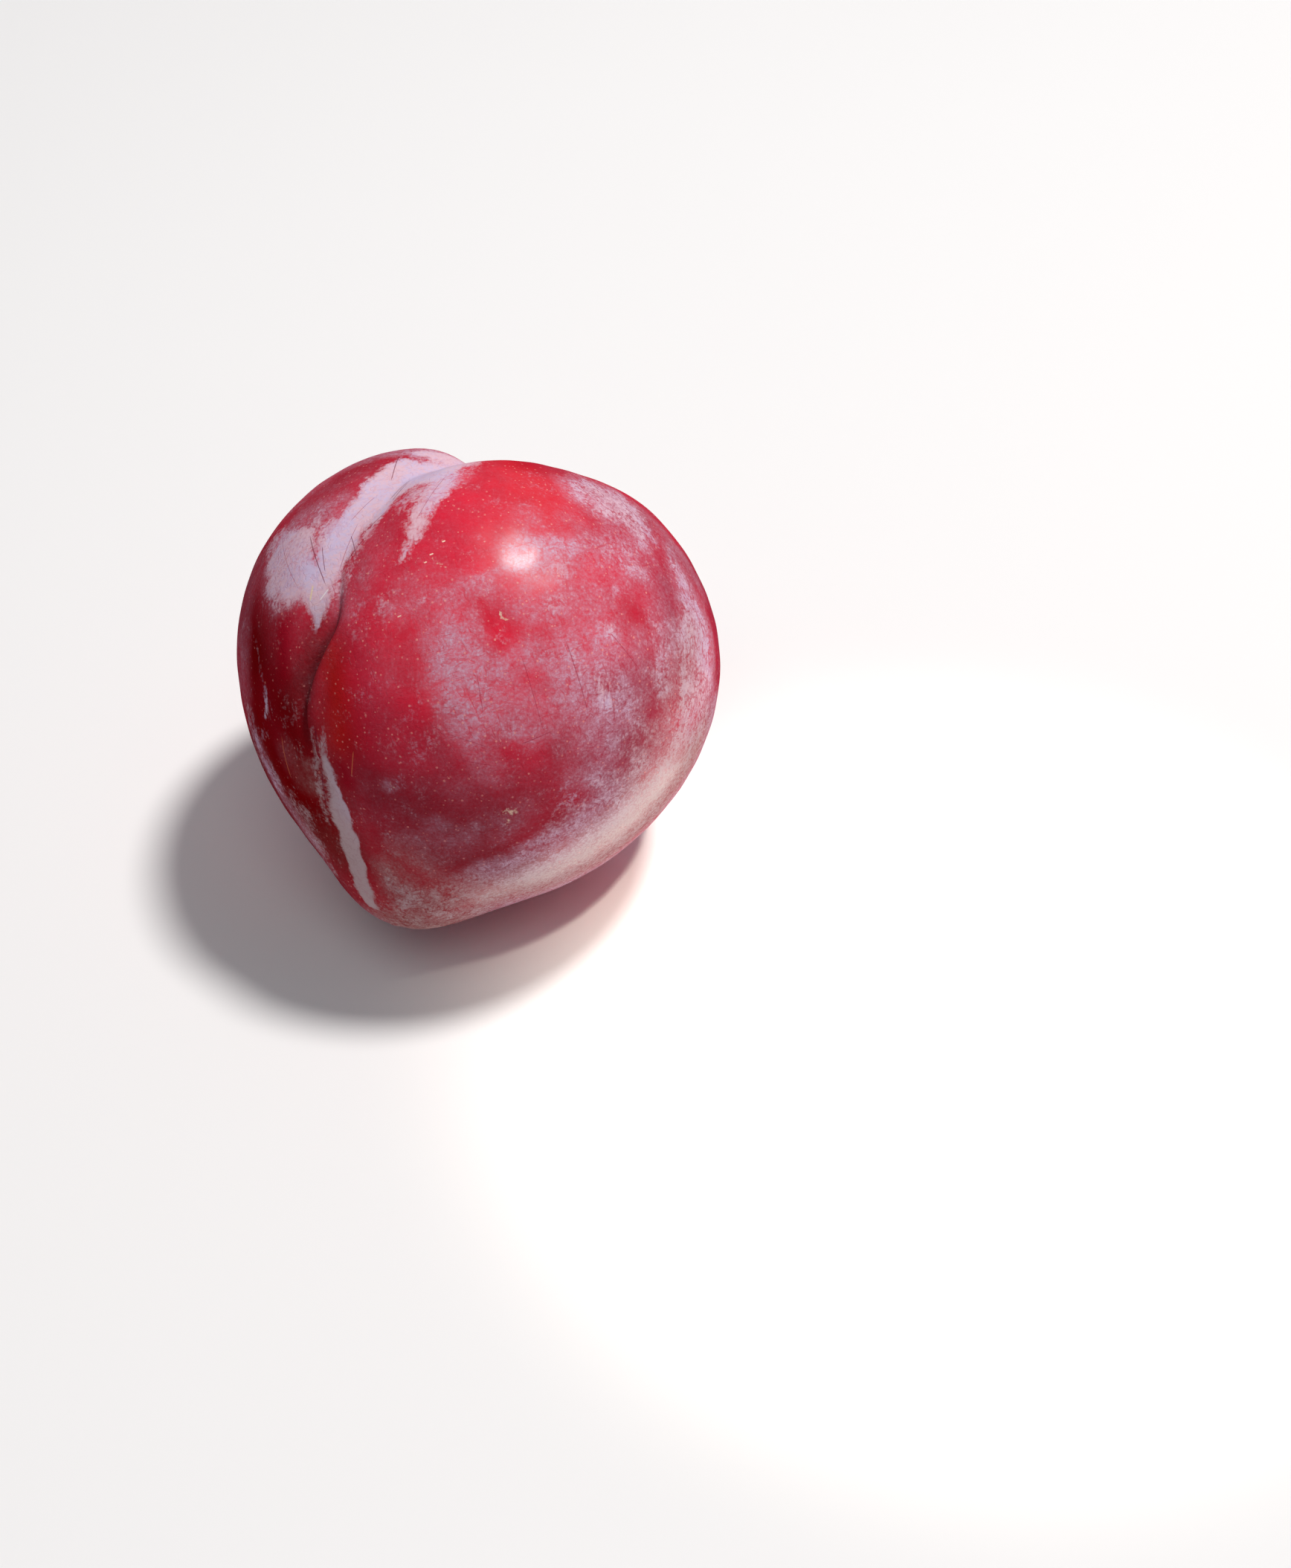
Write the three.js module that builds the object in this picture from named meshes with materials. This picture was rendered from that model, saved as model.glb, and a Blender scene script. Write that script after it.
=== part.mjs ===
// A ripe red dessert plum, picked and lying on its side, as one solid.
//
// Millimetres, +Z up. The fruit rests on a small flat spot at z = 0, and the origin is the
// point of that spot straight below the middle of the fruit. The tip points to -Y and down,
// the stem cavity to +Y and up, and the suture lies on the upper side, a little to -X.
//
// The skin is one closed surface. Its distance from the middle of the fruit is worked out for
// every direction: a round body, plus the heart shape, the blunt tip, the hollow round the
// stem, and the suture groove between the two cheeks. Directions are given on the fruit
// itself by two angles: the polar angle from the stem end (0) to the tip end (180), and the
// turn round the fruit from the suture side (0), positive towards the right cheek.

import * as THREE from 'three';
import { mergeVertices } from 'three/addons/utils/BufferGeometryUtils.js';

// ---- Driving dimensions, in millimetres and degrees ----

const BODY_RADIUS = 31.5;            // middle of the fruit to the skin of the round body
const AXIS_STRETCH = -1.4;           // added at both ends of the axis
const STEM_END_STRETCH = -1.1;       // added at the stem end, taken off at the tip end
const SUTURE_SIDE_SWELL = 1.0;       // added on the suture side, taken off opposite
const RIGHT_CHEEK_SWELL = 0.1;       // added on the right cheek, taken off the left
const CHEEK_SWELL = 0.4;             // added on both cheeks

const FLANK_TAPER = 1.7;             // the flanks draw in towards the tip by this much
const FLANK_POLAR = 125;
const FLANK_SPREAD = 48;

const TIP_RISE = 4.3;                // height of the blunt tip over the body
const TIP_SPREAD = 16.4;
const TIP_LEAN = 15.5;               // the tip leans towards the suture side
const TIP_SWAY = 1;                  // and a little towards the right cheek

const CAVITY_DEPTH = 6.5;            // hollow round the stem
const CAVITY_SPREAD = 19;

const VALLEY_DEPTH = 0.4;            // broad valley along the suture, at the tip
const VALLEY_STEM_DEPTH = 2.15;      // extra depth of the valley at the stem end
const VALLEY_STEM_SPREAD = 69;
const VALLEY_HALF_WIDTH = 7.9;
const CREASE_HALF_WIDTH = 1.6;       // sharp crease on the valley's floor

const REST_POLAR = 132;              // the direction that points down, towards the surface
const REST_TURN = 205;
const REST_HEIGHT = 28.2;            // middle of the fruit over the surface
const REST_SIDE_FLATTENING = 0.6;    // the lower side is a little flatter than the rest
const REST_SIDE_SPREAD = 26;
const REST_SIDE_POLAR = 126;
const REST_SIDE_TURN = 234;

// The whole suture bends towards the right cheek at the stem end, by an angle of turn.
const VALLEY_BENDS = [{ polar: 24, spread: 12, amount: 16 }];

// Lower down, the crease wanders from side to side on the valley's floor.
const CREASE_BENDS = [
  { polar: 56, spread: 8, amount: 2.3 },
  { polar: 85, spread: 8, amount: 3.4 },
  { polar: 109, spread: 13, amount: -4.8 },
  { polar: 139, spread: 13, amount: 4 },
];

// The crease is deepest on the upper side, halfway down the fruit.
const CREASE_DEPTHS = [
  { polar: 55, spread: 30, amount: 0.3 },
  { polar: 97, spread: 14, amount: 0.55 },
  { polar: 130, spread: 25, amount: 0.2 },
];

// Long low swells keep the skin from being a perfect figure. Each one is a wave that runs
// through the fruit along `axis` (suture side, right cheek, stem).
const SWELLS = [
  { axis: [0.8, 0.5, 0.3], waves: 3.1, height: 0.18, start: 0.4 },
  { axis: [-0.2, 0.9, -0.4], waves: 4.3, height: 0.14, start: 1.9 },
  { axis: [0.3, -0.4, 0.85], waves: 5.2, height: 0.12, start: 3.3 },
  { axis: [0.9, -0.3, -0.2], waves: 6.1, height: 0.08, start: 5.1 },
];

const ROWS = 44;                     // facets from stem to tip
const COLUMNS = 72;                  // facets round the fruit
const COLUMN_CROWDING = 0.62;        // columns crowd towards the suture, 0 for none

const SKIN_RED = 0x8e1528;
const SKIN_ROUGHNESS = 0.42;

// ---- Directions on the fruit ----

const { degToRad, radToDeg, clamp } = THREE.MathUtils;

// Falls from 1 at zero to almost nothing at twice the spread.
function bell(distance, spread) {
  return Math.exp(-((distance / spread) ** 2));
}

// Sum of what each part of a list, such as a bend or a depth, adds at a polar angle.
function sumOfBells(parts, polar) {
  return parts.reduce((sum, part) => sum + part.amount * bell(polar - part.polar, part.spread), 0);
}

// Unit vector of a polar angle and a turn: x to the suture, y to the right cheek, z to the stem.
function fruitDirection(polar, turn) {
  return new THREE.Vector3().setFromSphericalCoords(1, degToRad(polar), degToRad(turn))
    .applyMatrix4(SPHERICAL_TO_FRUIT);
}

// three.js counts its spherical turn from +Z towards +X with the pole on +Y.
const SPHERICAL_TO_FRUIT = new THREE.Matrix4().makeBasis(
  new THREE.Vector3(0, 1, 0),
  new THREE.Vector3(0, 0, 1),
  new THREE.Vector3(1, 0, 0),
);

const TIP_DIRECTION = new THREE.Vector3(
  Math.sin(degToRad(TIP_LEAN)),
  Math.sin(degToRad(TIP_SWAY)),
  -1,
).normalize();
const REST_SIDE_DIRECTION = fruitDirection(REST_SIDE_POLAR, REST_SIDE_TURN);
const DOWN = fruitDirection(REST_POLAR, REST_TURN);

// ---- The skin ----

// Turn of the valley's floor off the suture side at a polar angle.
function valleyTurn(polar) {
  return sumOfBells(VALLEY_BENDS, polar);
}

// Turn of the crease, which follows the valley and adds its own bends.
function creaseTurn(polar) {
  return valleyTurn(polar) + sumOfBells(CREASE_BENDS, polar);
}

// Angle of arc from a direction to a line that runs from stem to tip at the turn `lineTurn`.
// On the far side of the fruit, where the groove has ended, it is the angle to the nearer end.
function angleToLine(polar, turn, lineTurn) {
  const offset = degToRad(turn - lineTurn);
  if (Math.cos(offset) < 0) {
    return Math.min(polar, 180 - polar);
  }
  return Math.abs(radToDeg(Math.asin(clamp(Math.sin(degToRad(polar)) * Math.sin(offset), -1, 1))));
}

// Depth of the suture at a direction: the broad valley and the crease on its floor.
function sutureDepth(polar, turn) {
  const toValley = angleToLine(polar, turn, valleyTurn(polar));
  const toCrease = angleToLine(polar, turn, creaseTurn(polar));
  const valley = VALLEY_DEPTH + VALLEY_STEM_DEPTH * bell(polar, VALLEY_STEM_SPREAD);
  const crease = sumOfBells(CREASE_DEPTHS, polar);
  return valley * bell(toValley, VALLEY_HALF_WIDTH) + crease * bell(toCrease, CREASE_HALF_WIDTH);
}

// Height of the long swells at a direction.
function swellHeight(direction) {
  return SWELLS.reduce((sum, { axis, waves, height, start }) => {
    const along = direction.dot(new THREE.Vector3(...axis).normalize());
    return sum + height * Math.sin(waves * along + start);
  }, 0);
}

// Distance from the middle of the fruit to its skin, before the flat spot is pressed in.
function skinRadius(direction) {
  const { x: suture, y: cheek, z: stem } = direction;
  const polar = radToDeg(Math.acos(clamp(stem, -1, 1)));
  const turn = radToDeg(Math.atan2(cheek, suture));
  const body = BODY_RADIUS + AXIS_STRETCH * stem ** 2 + STEM_END_STRETCH * stem ** 3
    + SUTURE_SIDE_SWELL * suture + RIGHT_CHEEK_SWELL * cheek + CHEEK_SWELL * cheek ** 2;
  const toTip = radToDeg(direction.angleTo(TIP_DIRECTION));
  const toRestSide = radToDeg(direction.angleTo(REST_SIDE_DIRECTION));
  return body
    - FLANK_TAPER * bell(polar - FLANK_POLAR, FLANK_SPREAD)
    + TIP_RISE * bell(toTip, TIP_SPREAD)
    - CAVITY_DEPTH * bell(polar, CAVITY_SPREAD)
    - sutureDepth(polar, turn)
    - REST_SIDE_FLATTENING * bell(toRestSide, REST_SIDE_SPREAD)
    + swellHeight(direction);
}

// Skin that would sink below the surface is drawn back to it, which leaves the flat spot.
function restingRadius(direction) {
  const downward = direction.dot(DOWN);
  const free = skinRadius(direction);
  return free * downward > REST_HEIGHT ? REST_HEIGHT / downward : free;
}

// Even turns become turns that crowd towards the crease and follow its bends.
function crowdedTurn(polar, evenTurn) {
  const crowded = evenTurn - COLUMN_CROWDING * Math.sin(evenTurn);
  const nearSuture = (1 + Math.cos(evenTurn)) / 2;
  return radToDeg(crowded) + creaseTurn(polar) * nearSuture;
}

// ---- Placing the fruit as it lies ----

// Turns the fruit so that DOWN points to -Z and the stem end leans back to +Y.
function restingTurn() {
  const up = DOWN.clone().negate();
  const stem = new THREE.Vector3(0, 0, 1);
  const back = stem.sub(up.clone().multiplyScalar(up.z)).normalize();
  const right = new THREE.Vector3().crossVectors(back, up);
  return new THREE.Matrix4().makeBasis(right, back, up).transpose();
}

// A sphere of facets whose corners are carried out to the skin of the resting fruit.
function plumGeometry() {
  const sphere = new THREE.SphereGeometry(1, COLUMNS, ROWS);
  sphere.deleteAttribute('normal');
  sphere.deleteAttribute('uv');
  const geometry = mergeVertices(sphere);
  const corners = geometry.getAttribute('position');
  const lay = restingTurn();
  const corner = new THREE.Vector3();
  for (let i = 0; i < corners.count; i += 1) {
    corner.fromBufferAttribute(corners, i);
    const polar = radToDeg(Math.acos(clamp(corner.y, -1, 1)));
    const evenTurn = Math.atan2(corner.x, corner.z);
    const direction = fruitDirection(polar, crowdedTurn(polar, evenTurn));
    const point = direction.clone().multiplyScalar(restingRadius(direction)).applyMatrix4(lay);
    corners.setXYZ(i, point.x, point.y, Math.max(0, point.z + REST_HEIGHT));
  }
  geometry.computeVertexNormals();
  return geometry;
}

const plum = new THREE.Mesh(
  plumGeometry(),
  new THREE.MeshStandardMaterial({ color: SKIN_RED, roughness: SKIN_ROUGHNESS, metalness: 0 }),
);
plum.name = 'plum';

const fruit = new THREE.Group();
fruit.add(plum);

export default fruit;
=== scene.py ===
"""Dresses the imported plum: its skin, the floor it lies on, the light and the camera.

The fruit's own sizes are in millimetres and degrees, as in the solid. A place on the skin is
given by two angles: the polar angle from the stem end (0) to the tip end (180), and the turn
round the fruit from the suture side (0), positive towards the right cheek. Blender objects are
in metres, in the solid's frame: the tip points to -Y, the stem end to +Y, and z = 0 is the
surface that the fruit rests on.
"""

from __future__ import annotations

import logging
import math
from dataclasses import dataclass
from enum import Enum
from functools import cached_property
from typing import Any, NamedTuple, Sequence, Union

import bpy
import numpy as np
from mathutils import Matrix, Vector

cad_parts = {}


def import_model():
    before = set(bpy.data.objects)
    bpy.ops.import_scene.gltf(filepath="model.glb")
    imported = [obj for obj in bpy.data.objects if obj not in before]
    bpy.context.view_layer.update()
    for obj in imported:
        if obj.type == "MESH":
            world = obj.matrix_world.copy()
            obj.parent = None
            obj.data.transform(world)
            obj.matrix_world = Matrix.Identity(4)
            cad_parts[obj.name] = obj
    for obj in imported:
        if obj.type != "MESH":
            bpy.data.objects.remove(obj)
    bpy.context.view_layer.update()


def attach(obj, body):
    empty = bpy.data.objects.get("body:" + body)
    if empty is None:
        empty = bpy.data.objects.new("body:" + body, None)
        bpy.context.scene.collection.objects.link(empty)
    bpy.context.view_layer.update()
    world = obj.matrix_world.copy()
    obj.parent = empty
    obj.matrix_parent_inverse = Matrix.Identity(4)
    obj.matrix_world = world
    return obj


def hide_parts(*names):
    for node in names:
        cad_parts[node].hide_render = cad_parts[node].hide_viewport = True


log = logging.getLogger("plum")

MM = 0.001
Array = np.ndarray
Colour = tuple[float, float, float]


def bell(distance: Array | float, spread: float) -> Array | float:
    """Falls from 1 at zero to almost nothing at twice the spread: exp of minus the square.

    Args:
        distance: distance from the bell's middle.
        spread: distance at which the bell has fallen to 1/e.

    Returns:
        The height of the bell, 0 to 1.
    """
    return np.exp(-((distance / spread) ** 2))


def smooth(low: float, high: float, value: Array) -> Array:
    """Rises from 0 to 1 between low and high along 3t^2 - 2t^3.

    Args:
        low: value at which the rise starts.
        high: value at which it ends.
        value: what is compared with them.

    Returns:
        The rise, 0 to 1.
    """
    t = np.clip((value - low) / (high - low), 0.0, 1.0)
    return t * t * (3.0 - 2.0 * t)


def direction_of(polar: Array | float, turn: Array | float) -> Array:
    """Unit vectors of places on the fruit.

    Args:
        polar: polar angles in degrees.
        turn: turns in degrees.

    Returns:
        Vectors with x to the suture, y to the right cheek and z to the stem.
    """
    p, t = np.radians(polar), np.radians(turn)
    return np.stack([np.sin(p) * np.cos(t), np.sin(p) * np.sin(t), np.cos(p) + 0.0 * t], axis=-1)


def unit(vector: Sequence[float]) -> Array:
    """The vector at length 1."""
    array = np.asarray(vector, float)
    return array / np.linalg.norm(array)


def angle_between(aim: Array, other: Array) -> Array:
    """Angle in degrees between each direction and another."""
    return np.degrees(np.arccos(np.clip(aim @ other, -1.0, 1.0)))


@dataclass(frozen=True)
class PolarBell:
    """One term of a sum of bells along the polar angle."""

    polar: float
    spread: float
    amount: float


@dataclass(frozen=True)
class Swell:
    """A low wave through the fruit along an axis."""

    axis: tuple[float, float, float]
    waves: float
    height: float
    start: float


def sum_of_bells(parts: Sequence[PolarBell], polar: Array) -> Array:
    """What all the terms add at each polar angle.

    Args:
        parts: the terms.
        polar: polar angles in degrees.

    Returns:
        The sum of amount times bell(polar - part's polar, part's spread).
    """
    total = np.zeros_like(np.asarray(polar, float))
    for part in parts:
        total = total + part.amount * bell(polar - part.polar, part.spread)
    return total


@dataclass(frozen=True)
class FruitForm:
    """Sizes of the fruit, the same as the solid's, and the formula of its skin."""

    body_radius: float = 31.5
    axis_stretch: float = -1.4
    stem_end_stretch: float = -1.1
    suture_side_swell: float = 1.0
    right_cheek_swell: float = 0.1
    cheek_swell: float = 0.4
    flank: PolarBell = PolarBell(125, 48, 1.7)
    tip_rise: float = 4.3
    tip_spread: float = 16.4
    tip_lean: float = 15.5
    tip_sway: float = 1.0
    cavity: PolarBell = PolarBell(0, 19, 6.5)
    valley_depth: float = 0.4
    valley_stem: PolarBell = PolarBell(0, 69, 2.15)
    valley_half_width: float = 7.9
    crease_half_width: float = 1.6
    rest_polar: float = 132
    rest_turn: float = 205
    rest_height: float = 28.2
    rest_side_flattening: float = 0.6
    rest_side_spread: float = 26
    rest_side_polar: float = 126
    rest_side_turn: float = 234
    valley_bends: tuple[PolarBell, ...] = (PolarBell(24, 12, 16),)
    crease_bends: tuple[PolarBell, ...] = (
        PolarBell(56, 8, 2.3),
        PolarBell(85, 8, 3.4),
        PolarBell(109, 13, -4.8),
        PolarBell(139, 13, 4),
    )
    crease_depths: tuple[PolarBell, ...] = (
        PolarBell(55, 30, 0.3),
        PolarBell(97, 14, 0.55),
        PolarBell(130, 25, 0.2),
    )
    swells: tuple[Swell, ...] = (
        Swell((0.8, 0.5, 0.3), 3.1, 0.18, 0.4),
        Swell((-0.2, 0.9, -0.4), 4.3, 0.14, 1.9),
        Swell((0.3, -0.4, 0.85), 5.2, 0.12, 3.3),
        Swell((0.9, -0.3, -0.2), 6.1, 0.08, 5.1),
    )
    sideways: float = 0.2  # the least cosine to straight down at which skin can reach the flat spot

    def tip_direction(self) -> Array:
        """Unit vector from the middle of the fruit to the tip."""
        return unit((math.sin(math.radians(self.tip_lean)), math.sin(math.radians(self.tip_sway)), -1.0))

    def down(self) -> Array:
        """Unit vector, on the fruit, that points to the surface below."""
        return direction_of(self.rest_polar, self.rest_turn)

    def crease_turn(self, polar: Array) -> Array:
        """Turn of the crease at each polar angle: the valley's bends plus its own."""
        return sum_of_bells(self.valley_bends + self.crease_bends, polar)

    @staticmethod
    def arc_to_line(polar: Array, turn: Array, line_turn: Array) -> Array:
        """Signed arc, in degrees, from each place to a line from stem to tip.

        The sine of the arc is the sine of the polar angle times the sine of the turn's offset
        from the line. Behind the fruit it is the arc to the nearer end of the line.

        Args:
            polar: polar angles in degrees.
            turn: turns in degrees.
            line_turn: turn of the line at those polar angles.

        Returns:
            The arc, positive towards the right cheek.
        """
        offset = np.radians(turn - line_turn)
        product = np.clip(np.sin(np.radians(polar)) * np.sin(offset), -1.0, 1.0)
        side = np.degrees(np.arcsin(product))
        end = np.minimum(polar, 180.0 - polar) * np.where(side < 0.0, -1.0, 1.0)
        return np.where(np.cos(offset) < 0.0, end, side)

    def across_crease(self, polar: Array, turn: Array) -> Array:
        """Signed distance in millimetres from each place to the crease's line."""
        return np.radians(self.arc_to_line(polar, turn, self.crease_turn(polar))) * self.body_radius

    def free_radius(self, polar: Array, turn: Array) -> Array:
        """Distance from the middle to the skin, before the flat spot is pressed in.

        A round body, stretched along its axis, fuller on the suture side and the cheeks; less
        a taper of the flanks, the stem's hollow and the suture; plus the tip and the swells.

        Args:
            polar: polar angles in degrees.
            turn: turns in degrees.

        Returns:
            Distances in millimetres.
        """
        aim = direction_of(polar, turn)
        suture, cheek, stem = aim[..., 0], aim[..., 1], aim[..., 2]
        to_tip = angle_between(aim, self.tip_direction())
        to_rest_side = angle_between(aim, direction_of(self.rest_side_polar, self.rest_side_turn))
        to_valley = self.arc_to_line(polar, turn, sum_of_bells(self.valley_bends, polar))
        to_crease = self.arc_to_line(polar, turn, self.crease_turn(polar))
        valley = self.valley_depth + sum_of_bells((self.valley_stem,), polar)
        radius = (
            self.body_radius
            + self.axis_stretch * stem**2
            + self.stem_end_stretch * stem**3
            + self.suture_side_swell * suture
            + self.right_cheek_swell * cheek
            + self.cheek_swell * cheek**2
            - sum_of_bells((self.flank, self.cavity), polar)
            + self.tip_rise * bell(to_tip, self.tip_spread)
            - valley * bell(to_valley, self.valley_half_width)
            - sum_of_bells(self.crease_depths, polar) * bell(to_crease, self.crease_half_width)
            - self.rest_side_flattening * bell(to_rest_side, self.rest_side_spread)
        )
        for swell in self.swells:
            radius = radius + swell.height * np.sin(swell.waves * (aim @ unit(swell.axis)) + swell.start)
        return radius

    def press(self, aim: Array, radius: Array) -> Array:
        """Draws skin that would sink below the surface back to it.

        Args:
            aim: directions on the fruit.
            radius: free distances in millimetres.

        Returns:
            Distances with the flat spot pressed in.
        """
        downward = aim @ self.down()
        safe = np.where(downward > self.sideways, downward, 1.0)
        return np.where(radius * downward > self.rest_height, self.rest_height / safe, radius)

    def lay(self) -> Array:
        """Rows of the turn that lays the fruit down: its right, back and up on the surface.

        Returns:
            A 3 by 3 matrix.
        """
        up = -self.down()
        stem = np.array([0.0, 0.0, 1.0])
        back = unit(stem - up * up[2])
        return np.stack([np.cross(back, up), back, up])

    def place(self, points: Array) -> Array:
        """Carries points of the fruit to where it lies.

        Args:
            points: places in millimetres from the middle of the fruit.

        Returns:
            Places in metres, none below the surface.
        """
        laid = points @ self.lay().T + np.array([0.0, 0.0, self.rest_height])
        laid[..., 2] = np.maximum(laid[..., 2], 0.0)
        return laid * MM

    def laid_direction(self, polar: float, turn: float) -> Array:
        """Direction of a place on the fruit as it lies."""
        return self.lay() @ direction_of(polar, turn)


@dataclass(frozen=True)
class Ripple:
    """Smooth random waves in every direction, for wobbling edges and low undulation."""

    wavelength: float
    seed: int
    waves: int = 28
    shortest: float = 0.7
    longest: float = 1.5

    def height(self, points: Array) -> Array:
        """Sum of plane waves of random direction and start, about -2 to 2.

        Args:
            points: places in millimetres.

        Returns:
            The sum of the cosines over the square root of half their number.
        """
        rng = np.random.default_rng(self.seed)
        axes = rng.normal(size=(self.waves, 3))
        axes /= np.linalg.norm(axes, axis=1)[:, None]
        lengths = self.wavelength * rng.uniform(self.shortest, self.longest, self.waves)
        starts = rng.uniform(0.0, 2.0 * np.pi, self.waves)
        phase = points @ (axes / lengths[:, None] * 2.0 * np.pi).T + starts
        return np.cos(phase).sum(axis=-1) / math.sqrt(self.waves / 2.0)


@dataclass(frozen=True)
class Dent:
    """A shallow round dent in the skin."""

    polar: float
    turn: float
    depth: float
    spread: float


@dataclass(frozen=True)
class FineRelief:
    """Low relief that the solid leaves out, in millimetres along the radius."""

    crease_core: PolarBell = PolarBell(97, 15, 0.75)
    crease_core_width: float = 0.36
    crease_fill: PolarBell = PolarBell(58, 22, 0.2)
    crease_fill_width: float = 1.0
    lip: PolarBell = PolarBell(97, 15, 0.22)
    lip_offset: float = 1.7
    lip_width: float = 1.1
    undulation: float = 0.02
    undulation_waves: Ripple = Ripple(5.0, 11)
    scar_radius: float = 2.3
    scar_sink: float = 0.5
    scar_slope: float = 0.9
    collar_height: float = 0.35
    collar_width: float = 0.45
    wrinkle_count: int = 17
    wrinkle_height: float = 0.09
    wrinkle_radius: float = 4.6
    wrinkle_spread: float = 2.2
    wrinkle_sway: float = 1.3
    wrinkle_sways: float = 3.0
    style_height: float = 0.1
    style_width: float = 0.6
    style_ring: float = 1.3
    dents: tuple[Dent, ...] = (Dent(81, 41, 0.28, 2.2), Dent(80, 41, 0.16, 0.6))

    def height(self, form: FruitForm, polar: Array, turn: Array, radius: Array) -> Array:
        """Adds up the crease's core and lip, the stem scar, the style's scar and the dents.

        Args:
            form: the fruit's form.
            polar: polar angles in degrees.
            turn: turns in degrees.
            radius: distances from the middle to the smooth skin.

        Returns:
            Heights in millimetres.
        """
        aim = direction_of(polar, turn)
        low = self.undulation * self.undulation_waves.height(aim * form.body_radius)
        for dent in self.dents:
            away = np.radians(angle_between(aim, direction_of(dent.polar, dent.turn))) * radius
            low = low - dent.depth * bell(away, dent.spread)
        to_tip = np.radians(angle_between(aim, form.tip_direction())) * radius
        style = bell(to_tip, self.style_width) - bell(to_tip - self.style_ring, self.style_width)
        stem_end = self.stem_end(turn, np.radians(polar) * radius)
        return self.suture(form, polar, turn) + stem_end + self.style_height * style + low

    def suture(self, form: FruitForm, polar: Array, turn: Array) -> Array:
        """A sharp core, exp of minus the distance, a fuller floor above it, and a lip beside it.

        Args:
            form: the fruit's form.
            polar: polar angles in degrees.
            turn: turns in degrees.

        Returns:
            Heights in millimetres.
        """
        across = form.across_crease(polar, turn)
        core = sum_of_bells((self.crease_core,), polar) * np.exp(-np.abs(across) / self.crease_core_width)
        fill = sum_of_bells((self.crease_fill,), polar) * bell(across, self.crease_fill_width)
        lip = sum_of_bells((self.lip,), polar) * bell(across - self.lip_offset, self.lip_width)
        return -core + fill + lip

    def stem_end(self, turn: Array, from_stem: Array) -> Array:
        """A sunk scar with a collar round it, and wrinkles: cosines of the turn that sway.

        Args:
            turn: turns in degrees.
            from_stem: distances from the stem's axis in millimetres.

        Returns:
            Heights in millimetres.
        """
        sway = self.wrinkle_sway * np.sin(np.radians(turn) * self.wrinkle_sways)
        waves = np.cos(np.radians(turn) * self.wrinkle_count + sway)
        wrinkles = self.wrinkle_height * bell(from_stem - self.wrinkle_radius, self.wrinkle_spread) * waves
        collar = self.collar_height * bell(from_stem - self.scar_radius, self.collar_width)
        inside = 1.0 - smooth(self.scar_radius - self.scar_slope, self.scar_radius, from_stem)
        return wrinkles + collar - self.scar_sink * inside


class SkinTint(Enum):
    """Colours of the skin under the bloom, linear, with a painted shade for the crease and a painted light
    for the lip beside it.
    """

    CRIMSON = (0.55, 0.012, 0.038)
    BRIGHT_RED = (0.76, 0.018, 0.046)
    ORANGE_RED = (0.64, 0.03, 0.04)
    DEEP_RED = (0.42, 0.009, 0.028)
    MAROON = (0.19, 0.0015, 0.003)
    WINE = (0.265, 0.006, 0.016)
    PLUM = (0.3, 0.007, 0.03)
    BARK = (0.2, 0.11, 0.06)
    # painted light: the lit red of the lip beside the crease
    LIT_LIP_RED = (0.5, 0.008, 0.006)
    OCHRE = (0.6, 0.17, 0.025)
    # painted shade for the bottom of the crease, not a colour of the skin
    SHADOW = (0.1, 0.003, 0.006)


@dataclass(frozen=True)
class Stroke:
    """A mark painted on the skin: a chain of places with a half-width at each.

    It draws a layer of numbers to an amount, or the skin's colour to a tint.
    """

    amount: float | SkinTint
    feather: float
    points: tuple[tuple[float, float, float], ...]
    strength: float = 1.0

    def target(self) -> float | Array:
        """The amount, or the tint's colour."""
        return np.array(self.amount.value) if isinstance(self.amount, SkinTint) else self.amount

    def coverage(self, aim: Array, radius: float) -> Array:
        """How far the mark covers each place.

        The distance to a link of the chain is the arc to its nearest point, less the
        half-width there; the cover falls from 1 to 0 across the feather.

        Args:
            aim: unit vectors on the fruit.
            radius: radius in millimetres that turns arcs into lengths.

        Returns:
            Cover, 0 to 1.
        """
        chain = [(direction_of(polar, turn), width) for polar, turn, width in self.points]
        links = list(zip(chain, chain[1:])) or [(chain[0], chain[0])]
        nearest = np.full(aim.shape[:-1], np.inf)
        for (start, start_width), (end, end_width) in links:
            link = end - start
            square = max(float(link @ link), np.finfo(float).tiny)
            along = np.clip((aim - start) @ link / square, 0.0, 1.0)
            closest = start + along[..., None] * link
            closest /= np.linalg.norm(closest, axis=-1)[..., None]
            width = start_width + (end_width - start_width) * along
            nearest = np.minimum(nearest, np.linalg.norm(aim - closest, axis=-1) * radius - width)
        return 1.0 - smooth(-0.5 * self.feather, 0.5 * self.feather, nearest)


# ---- The wax bloom ----
# A mark is (amount, feather in mm, places, strength), and a place is (polar, turn, half-width in mm).
# A later mark lies over the ones before it.

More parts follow.
